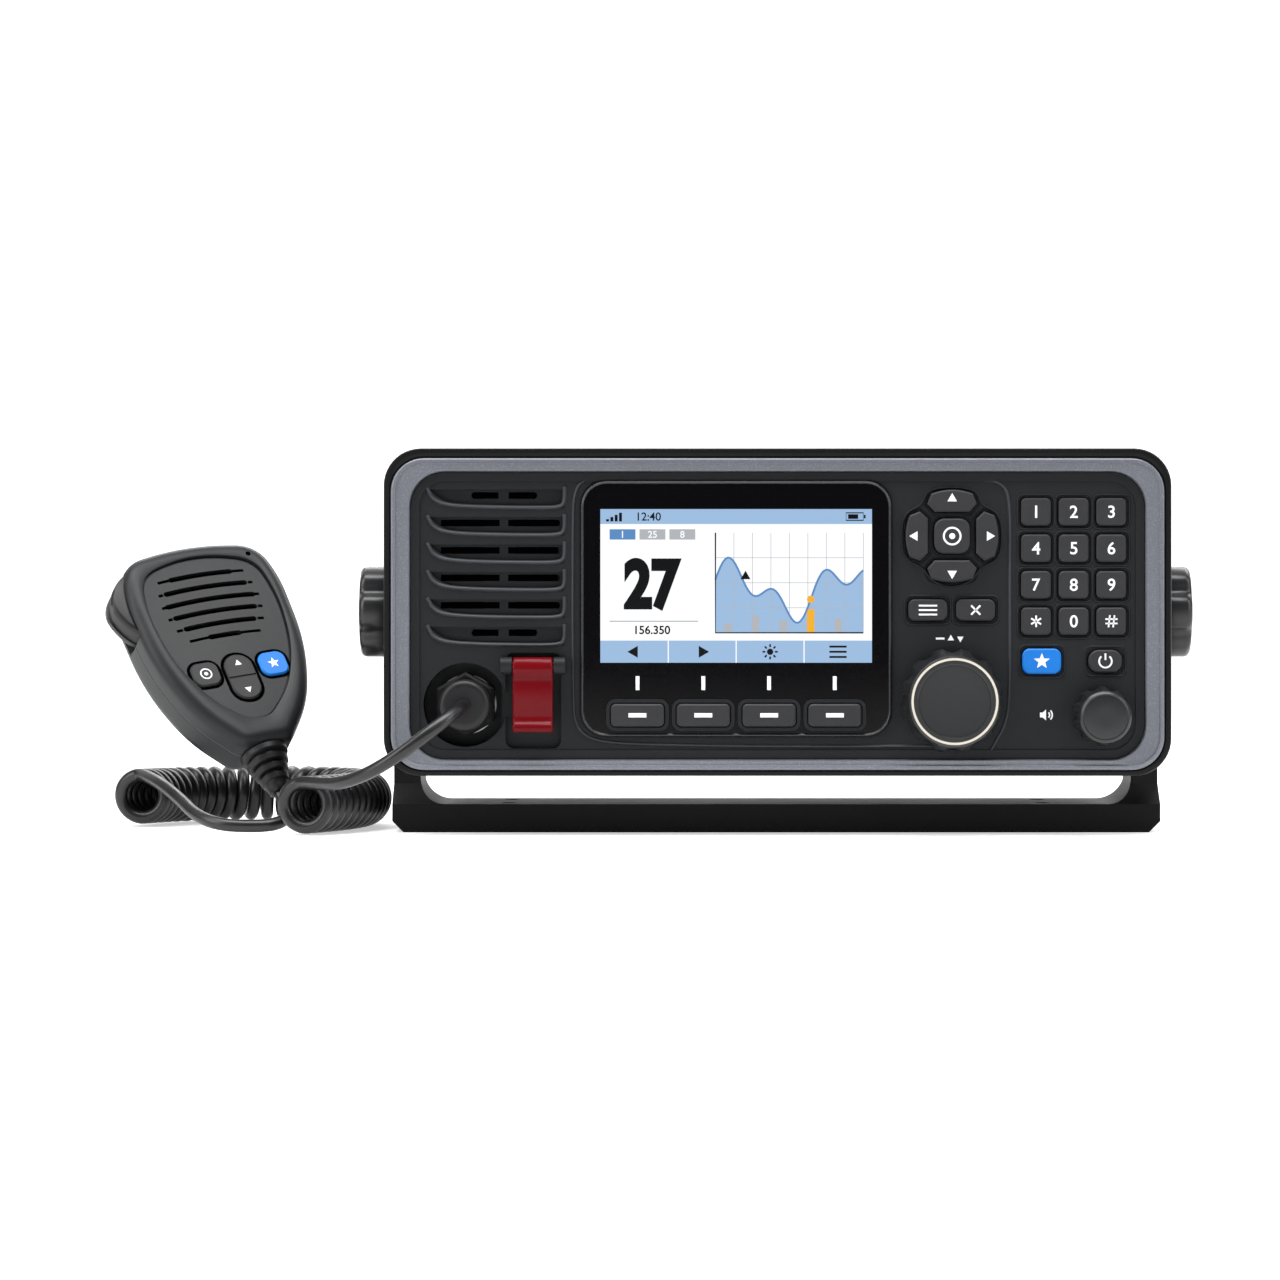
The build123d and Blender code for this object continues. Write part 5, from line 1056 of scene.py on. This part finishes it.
# ------------------------------ distress lid
class RADIO_OT_lid(bpy.types.Operator):
    """Clear red lid, a bent plate that ends in a roll on its pins"""

    bl_idname = "radio.lid"
    bl_label = "Distress lid"

    def execute(self, context):
        middle, pin_z, pin_depth = -84.95, -18.6, -1.2
        profile = flowing([
            (-15.9, 0.2), (-15.5, -2.6), (-18.0, -4.6), (-21.4, -4.6), (-22.6, -3.2), (-27.0, -3.6),
            (-32.5, -3.4), (-37.4, -2.6), (-39.2, -4.4), (-41.4, -4.4), (-41.9, -2.2), (-40.6, -0.6),
            (-37.4, -1.0), (-32.0, -1.8), (-27.0, -2.0), (-22.6, -1.6), (-20.9, 0.6), (-18.6, 2.2),
        ], 6, closed=True)
        # across the lid: half a width, and how far the profile is drawn in there
        rows = [(-6.95, 0.7), (-6.75, 0.25), (-6.3, 0.0), (6.3, 0.0), (6.75, 0.25), (6.95, 0.7)]
        rings = np.array([inset(profile, share) for _, share in rows])
        x = middle + np.array([row[0] for row in rows])[:, None]
        rim = np.arange(len(profile))[None]
        ends = [rim[:, ::-1], rim + (len(rows) - 1) * len(profile)]
        points = on_face(x, rings[..., 0], rings[..., 1])
        plate = outward(points, [lattice(len(rows), len(profile), True), *ends])
        pin = [(1.3, -94.4), (1.5, -94.2), (1.5, -75.7), (1.3, -75.5)]
        roll = turned(pin, 24, lambda u, v, h: on_face(h, v + pin_z, u + pin_depth))
        piece("lid", [plate, roll], "red", "distress_cover", ["distress_lid"], crease=40)
        return {"FINISHED"}


# ------------------------------ microphone
POCKET_FLOOR = -22.3  # the shells behind the talk bar
POCKET_LOW, POCKET_HIGH, POCKET_HALF = 8.7, 35.2, 5.75


def arch(row, half, steps=22):
    """Line of a row of the grille, out to this half length: it sinks by 0.8 (x / 16)^2."""
    x = np.linspace(-half, half, steps)
    return np.stack([x, GRILLE_TOP - row * GRILLE_PITCH - 0.8 * (x / 16) ** 2], axis=1)


def slot(row, half, height=2.1):
    """Outline of a slot along a row, with round ends."""
    line = arch(row, half)
    angle = np.linspace(0, pi, 7)[1:-1]
    end = height / 2 * np.stack([np.sin(angle), np.cos(angle)], axis=1)
    lift = (0, height / 2)
    return np.concatenate([line + lift, line[-1] + end, line[::-1] - lift, line[0] - end])


def mic_shell(rings, outs, material=0):
    """Rings of the microphone's outline at these heights, drawn in behind the talk bar."""
    rings, outs = np.array(rings), np.array(outs)
    count = rings.shape[1]
    across, up, height = rings[..., 0], rings[..., 1], outs[:, None] * np.ones(count)
    behind = (np.abs(height) < POCKET_HALF) & (up > POCKET_LOW) & (up < POCKET_HIGH) & (across < 0)
    across = np.where(behind, np.maximum(across, POCKET_FLOOR), across)
    return outward(on_mic(across, up, height), [lattice(len(outs), count, True)], material)


def well(ring):
    """Wall of a hole in the face plate, faced to its middle."""
    points = on_mic(ring[None, :, 0], ring[None, :, 1], np.array([MIC_PLATE, MIC_DEEP])[:, None])
    quads = lattice(2, len(ring), True)
    flat = points.reshape(-1, 3)
    first = flat[quads[0]]
    normal = np.cross(first[1] - first[0], first[3] - first[0])
    if normal @ (flat.mean(axis=0) - first[0]) < 0:
        quads = quads[:, ::-1]
    return points, [quads], 0


def microphone_front():
    """Front shell: from the seam over a quarter round to the rim, down to the plate and over it."""
    rounding, start = 4.5, 4.7
    rows = [(0.35, 0.03), (0.0, 0.3), (0.0, 2.5), (0.0, start)]
    for angle in np.linspace(0, pi / 2, 9)[1:]:
        rows.append((rounding * (1 - cos(angle)), start + rounding * sin(angle)))
    rings = [(inset(BODY, share), out) for share, out in rows]
    for share, out in (
        (-0.45, MIC_RIM), (-0.1, MIC_RIM - 0.15), (0.0, MIC_RIM - 0.5), (0.0, MIC_PLATE - 0.5),
        (0.35, MIC_PLATE - 0.5), (0.4, MIC_PLATE - 0.1), (0.6, MIC_PLATE),
    ):
        rings.append((inset(PLATE, share), out))
    holes = [slot(row, half) for row, half in enumerate(SLOT_HALVES)]
    wells, rims = [], []
    for width, height, radius, x, up in (
        (11.4, 10.6, 3.8, -MIC_KEY_X, MIC_KEY_UP), (11.4, 10.6, 3.8, MIC_KEY_X, MIC_KEY_UP),
        (11.8, 19.8, 5.6, 0.0, ROCKER_UP),
    ):
        wells.append(rounded_rectangle(width, height, radius, 8) + (x, up))
        # a dark ring round each key: painted shade in the gap between key and plate
        around = rounded_rectangle(width + 0.7, height + 0.7, radius + 0.4, 8) + (x, up)
        rims.append(band(around, 0.9, closed=True))
    # dark floor behind the slots and key holes: painted shade
    angle = np.linspace(0, 2 * pi, 48, endpoint=False)
    floor = patch(np.stack([20.4 * np.cos(angle), 15.4 + 18.6 * np.sin(angle)], axis=1))
    # the grooves are dark bands on the flat plate: painted shade for their depth
    grooves = []
    for row, (reach, half) in enumerate(zip(GROOVE_HALVES, SLOT_HALVES)):
        line = arch(row, reach, 44)
        for side in (-1, 1):
            beyond = line[line[:, 0] * side > half + 0.6]
            if len(beyond) > 1:
                grooves.append(band(beyond, 1.15))
    parts = [
        mic_shell(*zip(*rings)),
        *on_plate([filled([inset(PLATE, 0.6), *holes, *wells])], MIC_PLATE),
        *on_plate(rims, MIC_PLATE + MIC_PRINT, material=1),
        # a dark dot on the rim, in the painted shade finish
        *on_plate([patch(arc(0.95, 0, 340, 20))], MIC_RIM + MIC_PRINT, 20.9, 33.6, 1),
        *(well(ring) for ring in holes + wells),
        *on_plate([floor], MIC_DEEP, material=1),
        *on_plate(grooves, MIC_PLATE + MIC_PRINT, material=1),
    ]
    finishes = ["microphone", "void"]
    piece("microphone_front", parts, finishes, "base", ["mic_front_shell"], crease=35)


def microphone_back():
    """Rear shell: from the seam over a quarter round, the flat back on its last ring, and a paler band at the
    seam that is a painted highlight.
    """
    rounding, start = 6.0, -7.0
    rows = [(0.35, -0.03), (0.0, -0.3), (0.0, -3.0), (0.0, start)]
    for angle in np.linspace(0, pi / 2, 9)[1:]:
        rows.append((rounding * (1 - cos(angle)), start - rounding * sin(angle)))
    side = mic_shell([inset(BODY, share) for share, _ in rows], [out for _, out in rows])
    back = facing(side[0][-1], [np.arange(len(BODY))[None]], -MIC_OUT)
    # paler band along the seam: a painted highlight
    seam = mic_shell([inset(BODY, 0.12)] * 2, [-0.32, 0.32], 1)
    finishes = ["microphone", "seam"]
    piece("microphone_back", [side, back, seam], finishes, "base", ["mic_rear_shell"], crease=35)


def talk_bar():
    """Talk bar: the curve of its side swept over its width, stepped in between two ribs."""
    line = flowing([
        (-28.6, 9.2), (-31.9, 12.6), (-34.6, 18.0), (-35.7, 23.2), (-33.9, 28.4), (-30.2, 32.6),
        (-27.4, 34.6),
    ], 6)
    back = np.stack([np.full(len(line), -24.2), line[:, 1]], axis=1)
    drops = (1.3, 0.5, 0.0, 0.0, 0.7, 0.7, 0.7, 0.0, 0.0, 0.5, 1.3)
    rows = np.stack([back, *(line + (drop, 0) for drop in drops), back])
    outs = np.array([-5.4, -5.4, -5.1, -4.4, -2.6, -2.3, 0.0, 2.3, 2.6, 4.4, 5.1, 5.4, 5.4])
    starts = np.arange(len(outs))[None] * len(line)
    blocks = [lattice(len(outs), len(line)), starts, starts[:, ::-1] + len(line) - 1]
    pad = outward(on_mic(rows[..., 0], rows[..., 1], outs[:, None]), blocks)
    piece("talk_bar", [pad], "plug", "mic_talk", ["mic_talk_bar"], crease=35)


def boot():
    """Boot: a collar and three ribs that taper to the cord, turned round the microphone's length."""
    rows = [(3.4, 0.0), (8.3, 0.0), (8.6, 0.3), (8.5, 2.0), (8.0, 2.4)]
    for i in range(3):
        foot, radius = 2.9 + i * 3.4, 7.7 - i * 1.15
        rows += [
            (radius - 1.1, foot), (radius - 1.1, foot + 0.9), (radius, foot + 1.2),
            (radius - 0.4, foot + 3.0), (radius - 0.8, foot + 3.2),
        ]
    rows += [(4.2, 13.4), (3.9, 15.0), (3.6, 16.5), (3.2, 16.9), (2.35, 16.95)]
    collar = turned(rows, 64, lambda u, v, h: on_mic(u, -44.5 - h, v))
    piece("boot", [collar], "plug", "base", ["mic_boot"], crease=40)


def microphone_legends():
    """Icons on the microphone's rocker and its two keys, that move with them."""
    front = MIC_KEY_TOP + PRINT
    arrows = on_plate(icon_triangle(1.5, 90), front, 0, ROCKER_UP + 5.6)
    arrows += on_plate(icon_triangle(1.5, 270), front, 0, ROCKER_UP - 5.6)
    piece("rocker_legend", arrows, "legend", "mic_updown")
    for name, icon, x in (("left", icon_target(2.0, 0.5), -MIC_KEY_X), ("blue", icon_star(2.3), MIC_KEY_X)):
        shapes = on_plate(icon, front, x, MIC_KEY_UP)
        piece(name + "_legend", shapes, "legend", "mic_" + name)


class RADIO_OT_microphone(bpy.types.Operator):
    """Shells of the hand microphone, its grille, talk bar, boot and legends"""

    bl_idname = "radio.microphone"
    bl_label = "Microphone"

    def execute(self, context):
        microphone_front()
        microphone_back()
        talk_bar()
        boot()
        microphone_legends()
        return {"FINISHED"}


# ------------------------------ cord
PLUG_EXIT = (-108.6, -56.45, 45.7)
BOOT_TIP = tuple(MIC_AT + MIC_UP * -61.5)
LEAD_RADIO = [
    PLUG_EXIT, (-108.6, -65.95, 45.7), (-112.4, -73.9, 42.4), (-120.5, -79.0, 36.2), (-131.0, -79.0, 28.4),
    (-141.5, -74.0, 22.2), (-151.5, -65.5, 18.8), (-159.5, -54.5, 18.6),
]
COIL = [
    (-165.5, -46.5, 10.7), (-158.5, -28.0, 10.4), (-150.5, -7.0, 10.4), (-148.0, 16.0, 10.4),
    (-152.5, 39.0, 10.4), (-168.0, 55.0, 10.4), (-190.0, 60.0, 10.4), (-211.0, 53.0, 10.4),
    (-225.0, 35.0, 10.6), (-229.5, 12.0, 11.2),
]
LEAD_MIC = [
    (-226.0, 6.0, 18.4), (-219.5, -4.0, 16.0), (-211.8, -14.0, 11.0), (-205.0, -24.6, 5.8),
    (-195.6, -31.6, 3.0), (-185.0, -32.4, 2.6), (-178.0, -31.0, 2.9), (-173.0, -26.6, 4.6),
    tuple(np.array(BOOT_TIP) - MIC_UP * 5.4), BOOT_TIP,
]
COIL_LENGTH = 196.0
PER_TURN = 14  # points of the route to a turn of the coil


def spline_points(name, control, resolution):
    """Points of the smooth line that the control points steer, in millimetres."""
    curve = bpy.data.curves.new(name, "CURVE")
    curve.dimensions = "3D"
    spline = add_spline(curve, "NURBS", control)
    spline.order_u = 3
    spline.use_endpoint_u = True
    spline.resolution_u = resolution
    return mesh_of(curve)[0]


def helix(line, radius, turns_at):
    """Turns round a level line: centre + r (up cos a + (up x along) sin a), a grown by turns_at(share)."""
    reach = np.concatenate([[0], np.cumsum(np.linalg.norm(np.diff(line, axis=0), axis=1))])
    share = np.linspace(0, 1, 4000)
    angle = turns_at(share)
    count = int(round(angle[-1]))
    at = np.linspace(0, count, count * PER_TURN + 1)
    steps = np.interp(at, angle * count / angle[-1], share)
    centre = np.stack([np.interp(steps * reach[-1], reach, line[:, i]) for i in range(3)], axis=1)
    along = np.gradient(centre, axis=0)
    along /= np.linalg.norm(along, axis=1, keepdims=True)
    up = np.array([0.0, 0.0, 1.0])
    swing = 2 * pi * at[:, None]
    # the spline through a turn's points cuts its corners, so they lie a little further out
    radius = radius / cos(pi / PER_TURN) ** 1.5
    return centre + radius * (np.cos(swing) * up + np.sin(swing) * np.cross(up, along))


def coil_turns(share):
    """Turns laid by this share of the coil: tight at its ends, drawn out in its middle."""
    pitch = 5.2 + 1.1 * np.exp(-(((share - 0.52) / 0.2) ** 2)) + 0.2 * np.sin(23 * share)
    rate = 1 / pitch
    return COIL_LENGTH * np.concatenate([[0], np.cumsum(0.5 * (rate[1:] + rate[:-1]) * np.diff(share))])


def tube(path, radius, sides):
    """Round tube along a path; each ring is turned on from the last by the least rotation."""
    along = np.gradient(path, axis=0)
    along /= np.linalg.norm(along, axis=1, keepdims=True)
    normal = np.cross(along[0], (0.0, 0.0, 1.0))
    normals = []
    for direction in along:
        normal = normal - direction * normal.dot(direction)
        normal /= np.linalg.norm(normal)
        normals.append(normal)
    normals = np.array(normals)
    across = np.cross(along, normals)
    angle = np.linspace(0, 2 * pi, sides, endpoint=False)[None, :, None]
    rings = path[:, None] + radius * (normals[:, None] * np.cos(angle) + across[:, None] * np.sin(angle))
    rim = np.arange(sides)[None]
    return rings, [lattice(len(path), sides, True)[:, ::-1], rim, rim[:, ::-1] + (len(path) - 1) * sides], 0


class RADIO_OT_cord(bpy.types.Operator):
    """Curly cord from the radio's plug to the microphone's boot"""

    bl_idname = "radio.cord"
    bl_label = "Cord"

    def execute(self, context):
        look = context.scene.radio_look
        diameter = round(look.cord_diameter, 6)
        turns = helix(spline_points("coil_axis", COIL, 24), round(look.turn_radius, 6) / MM, coil_turns)
        path = spline_points("cord_route", [*LEAD_RADIO, *turns, *LEAD_MIC], 4)
        keep = np.concatenate([[True], np.linalg.norm(np.diff(path, axis=0), axis=1) > 1e-4])
        path = path[keep] * MM
        cord = piece(
            "curly_cord", [tube(path, diameter / 2, 14)], "cord", None,
            ("cord_lead_radio", "cord_coil", "cord_lead_mic"), crease=80,
        )
        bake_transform(cord)
        return {"FINISHED"}


# ------------------------------ stage
LAMPS = (  # name, place, aim, size, watts, colour
    ("top_softbox", (-0.1, -0.3, 1.2), (-0.03, -0.02, 0.08), (1.4, 0.6), 26.0, (1.0, 1.0, 1.0)),
    ("left_softbox", (-1.2, -0.6, 0.7), (-0.05, -0.02, 0.07), (0.6, 1.1), 13.0, (1.0, 0.99, 0.98)),
    ("right_strip", (1.2, -0.5, 0.7), (0.05, -0.02, 0.08), (0.3, 1.1), 8.0, (0.96, 0.98, 1.0)),
    ("back_strip", (0.2, 1.0, 1.0), (0, 0.0, 0.1), (1.6, 0.4), 12.0, (1.0, 1.0, 1.0)),
)


def floor_card(light):
    """Floor that turns up into a wall: a quarter circle between two straight runs, as wide as x.

    Its own light grows from this strength near the radio to white far from it.
    """
    bend = np.linspace(0, pi / 2, 24)
    curve = np.stack([1.6 + 0.7 * np.sin(bend), 0.7 - 0.7 * np.cos(bend)], axis=1)
    line = np.concatenate([[[-2.6, 0.0]], curve, [[2.3, 3.2]]])
    sides = np.broadcast_arrays(np.array([[-4.0, 4.0]]), line[:, :1], line[:, 1:])
    mesh = bpy.data.meshes.new("floor")
    points = np.stack(sides, axis=-1).reshape(-1, 3)
    mesh.from_pydata(points.tolist(), [], lattice(len(line), 2)[:, ::-1].tolist())
    mesh.polygons.foreach_set("use_smooth", [True] * len(mesh.polygons))
    finish = Finish("floor_card")
    card = finish.blend(finish.noise(300.0, 3.0), (0.8, 0.8, 0.8), (0.83, 0.83, 0.83))
    finish.surface(Base_Color=card, Roughness=0.9, Specular_IOR_Level=0.0)
    reach = finish.node("ShaderNodeVectorMath", {"operation": "LENGTH"}, [finish.place], output=1)
    far = finish.node("ShaderNodeMapRange", {"interpolation_type": "SMOOTHSTEP"}, [reach, 0.35, 1.3])
    mesh.materials.append(finish.backdrop(finish.blend(far, (light, light, light), (1.0, 1.0, 1.0))))
    add_object("floor", mesh)


def studio_world(light):
    """White world: this even light on the object, and full strength for rays from the camera."""
    world = bpy.data.worlds.new("studio")
    bpy.context.scene.world = world
    world.use_nodes = True
    nodes = Nodes(world.node_tree)
    unseen = 1 - nodes.node("ShaderNodeLightPath", output="Is Camera Ray")
    background = nodes.tree.nodes["Background"]
    nodes.feed(background.inputs["Color"], (1.0, 1.0, 1.0))
    nodes.feed(background.inputs["Strength"], 1 - unseen * (1 - light))


class RADIO_OT_stage(bpy.types.Operator):
    """Floor, backdrop, lights and camera"""

    bl_idname = "radio.stage"
    bl_label = "Stage"

    def execute(self, context):
        look = context.scene.radio_look
        floor_card(look.backdrop_light)
        studio_world(look.world_light)
        for name, place, aim, size, watts, colour in LAMPS:
            lamp = bpy.data.lights.new(name, "AREA")
            lamp.shape = "RECTANGLE"
            lamp.size, lamp.size_y = size
            lamp.energy = watts
            lamp.color = colour
            holder = add_object(name, lamp)
            holder.location = place
            holder.rotation_euler = (Vector(aim) - Vector(place)).to_track_quat("-Z", "Y").to_euler()
        lens = bpy.data.cameras.new("camera")
        lens.lens = look.lens
        lens.sensor_width = 36.0
        lens.shift_x = -0.0468
        lens.shift_y = -0.0308
        lens.clip_start = 0.05
        camera = add_object("camera", lens)
        camera.location = (-0.027, FACE_Y * MM - look.distance, 0.082)
        camera.rotation_euler = (pi / 2, 0, 0)
        context.scene.camera = camera
        context.scene.view_settings.view_transform = "Standard"
        return {"FINISHED"}


class RADIO_OT_finishes(bpy.types.Operator):
    """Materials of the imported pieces"""

    bl_idname = "radio.finishes"
    bl_label = "Finishes"

    def execute(self, context):
        make_finishes(context.scene.radio_look)
        for name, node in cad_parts.items():
            node.data.materials.clear()
            node.data.materials.append(FINISHES[NODE_FINISH.get(name, "key")])
        return {"FINISHED"}


# ------------------------------ settings and panel
def colour_setting(name, description, default):
    """A colour that a user may set."""
    return bpy.props.FloatVectorProperty(name=name, description=description, subtype="COLOR", default=default)


def number_setting(name, description, default, **limits):
    """A size or a strength that a user may set."""
    return bpy.props.FloatProperty(name=name, description=description, default=default, **limits)


class RadioLook(bpy.types.PropertyGroup):
    """Colours, sizes and stage values that a user would change"""

    shell_colour: colour_setting("Shell", "Bezel and nut", (0.0035, 0.0036, 0.0042))
    panel_colour: colour_setting("Panel", "Front panel", (0.009, 0.0102, 0.0118))
    bracket_colour: colour_setting("Bracket", "U bracket", (0.003, 0.003, 0.0035))
    trim_colour: colour_setting("Trim", "Metallic trim frame", (0.135, 0.142, 0.165))
    key_colour: colour_setting("Keys", "Keypad rubber", (0.022, 0.022, 0.0235))
    blue_colour: colour_setting("Blue keys", "Blue rubber", (0.006, 0.16, 0.56))
    red_colour: colour_setting("Lid", "Distress lid", (0.12, 0.0018, 0.0045))
    mic_colour: colour_setting("Microphone", "Microphone shells", (0.013, 0.0138, 0.015))
    cord_diameter: number_setting("Cord", "Thickness of the cord", 0.0046, unit="LENGTH", min=0.001)
    turn_radius: number_setting("Turns", "Radius of the coil's turns", 0.0077, unit="LENGTH", min=0.004)
    lens: number_setting("Lens", "Focal length", 121.5, unit="CAMERA", min=20.0)
    distance: number_setting("Distance", "Camera in front of the trim", 1.5, unit="LENGTH", min=0.2)
    world_light: number_setting("Ambient", "Even light from all sides", 0.2, min=0.0)
    backdrop_light: number_setting("Backdrop", "Light that lifts the floor near the radio", 0.5, min=0.0)


class RADIO_PT_panel(bpy.types.Panel):
    """Lists the settings and the pieces"""

    bl_label = "Marine Radio"
    bl_idname = "RADIO_PT_panel"
    bl_space_type = "VIEW_3D"
    bl_region_type = "UI"
    bl_category = "Marine Radio"

    def draw(self, context):
        for name in RadioLook.__annotations__:
            self.layout.prop(context.scene.radio_look, name)
        for operator in OPERATORS:
            self.layout.operator(operator.bl_idname)


OPERATORS = (
    RADIO_OT_finishes, RADIO_OT_stage, RADIO_OT_housing, RADIO_OT_display, RADIO_OT_legends, RADIO_OT_knobs,
    RADIO_OT_lid, RADIO_OT_microphone, RADIO_OT_cord,
)
CLASSES = (RadioLook, *OPERATORS, RADIO_PT_panel)


def register():
    """Makes the settings, operators and panel known."""
    for cls in CLASSES:
        bpy.utils.register_class(cls)
    bpy.types.Scene.radio_look = bpy.props.PointerProperty(type=RadioLook)


def unregister():
    """Takes them out again."""
    del bpy.types.Scene.radio_look
    for cls in reversed(CLASSES):
        bpy.utils.unregister_class(cls)


def main():
    """Builds every piece."""
    register()
    for operator in OPERATORS:
        group, name = operator.bl_idname.split(".")
        getattr(getattr(bpy.ops, group), name)()


if __name__ == "__main__":
    main()
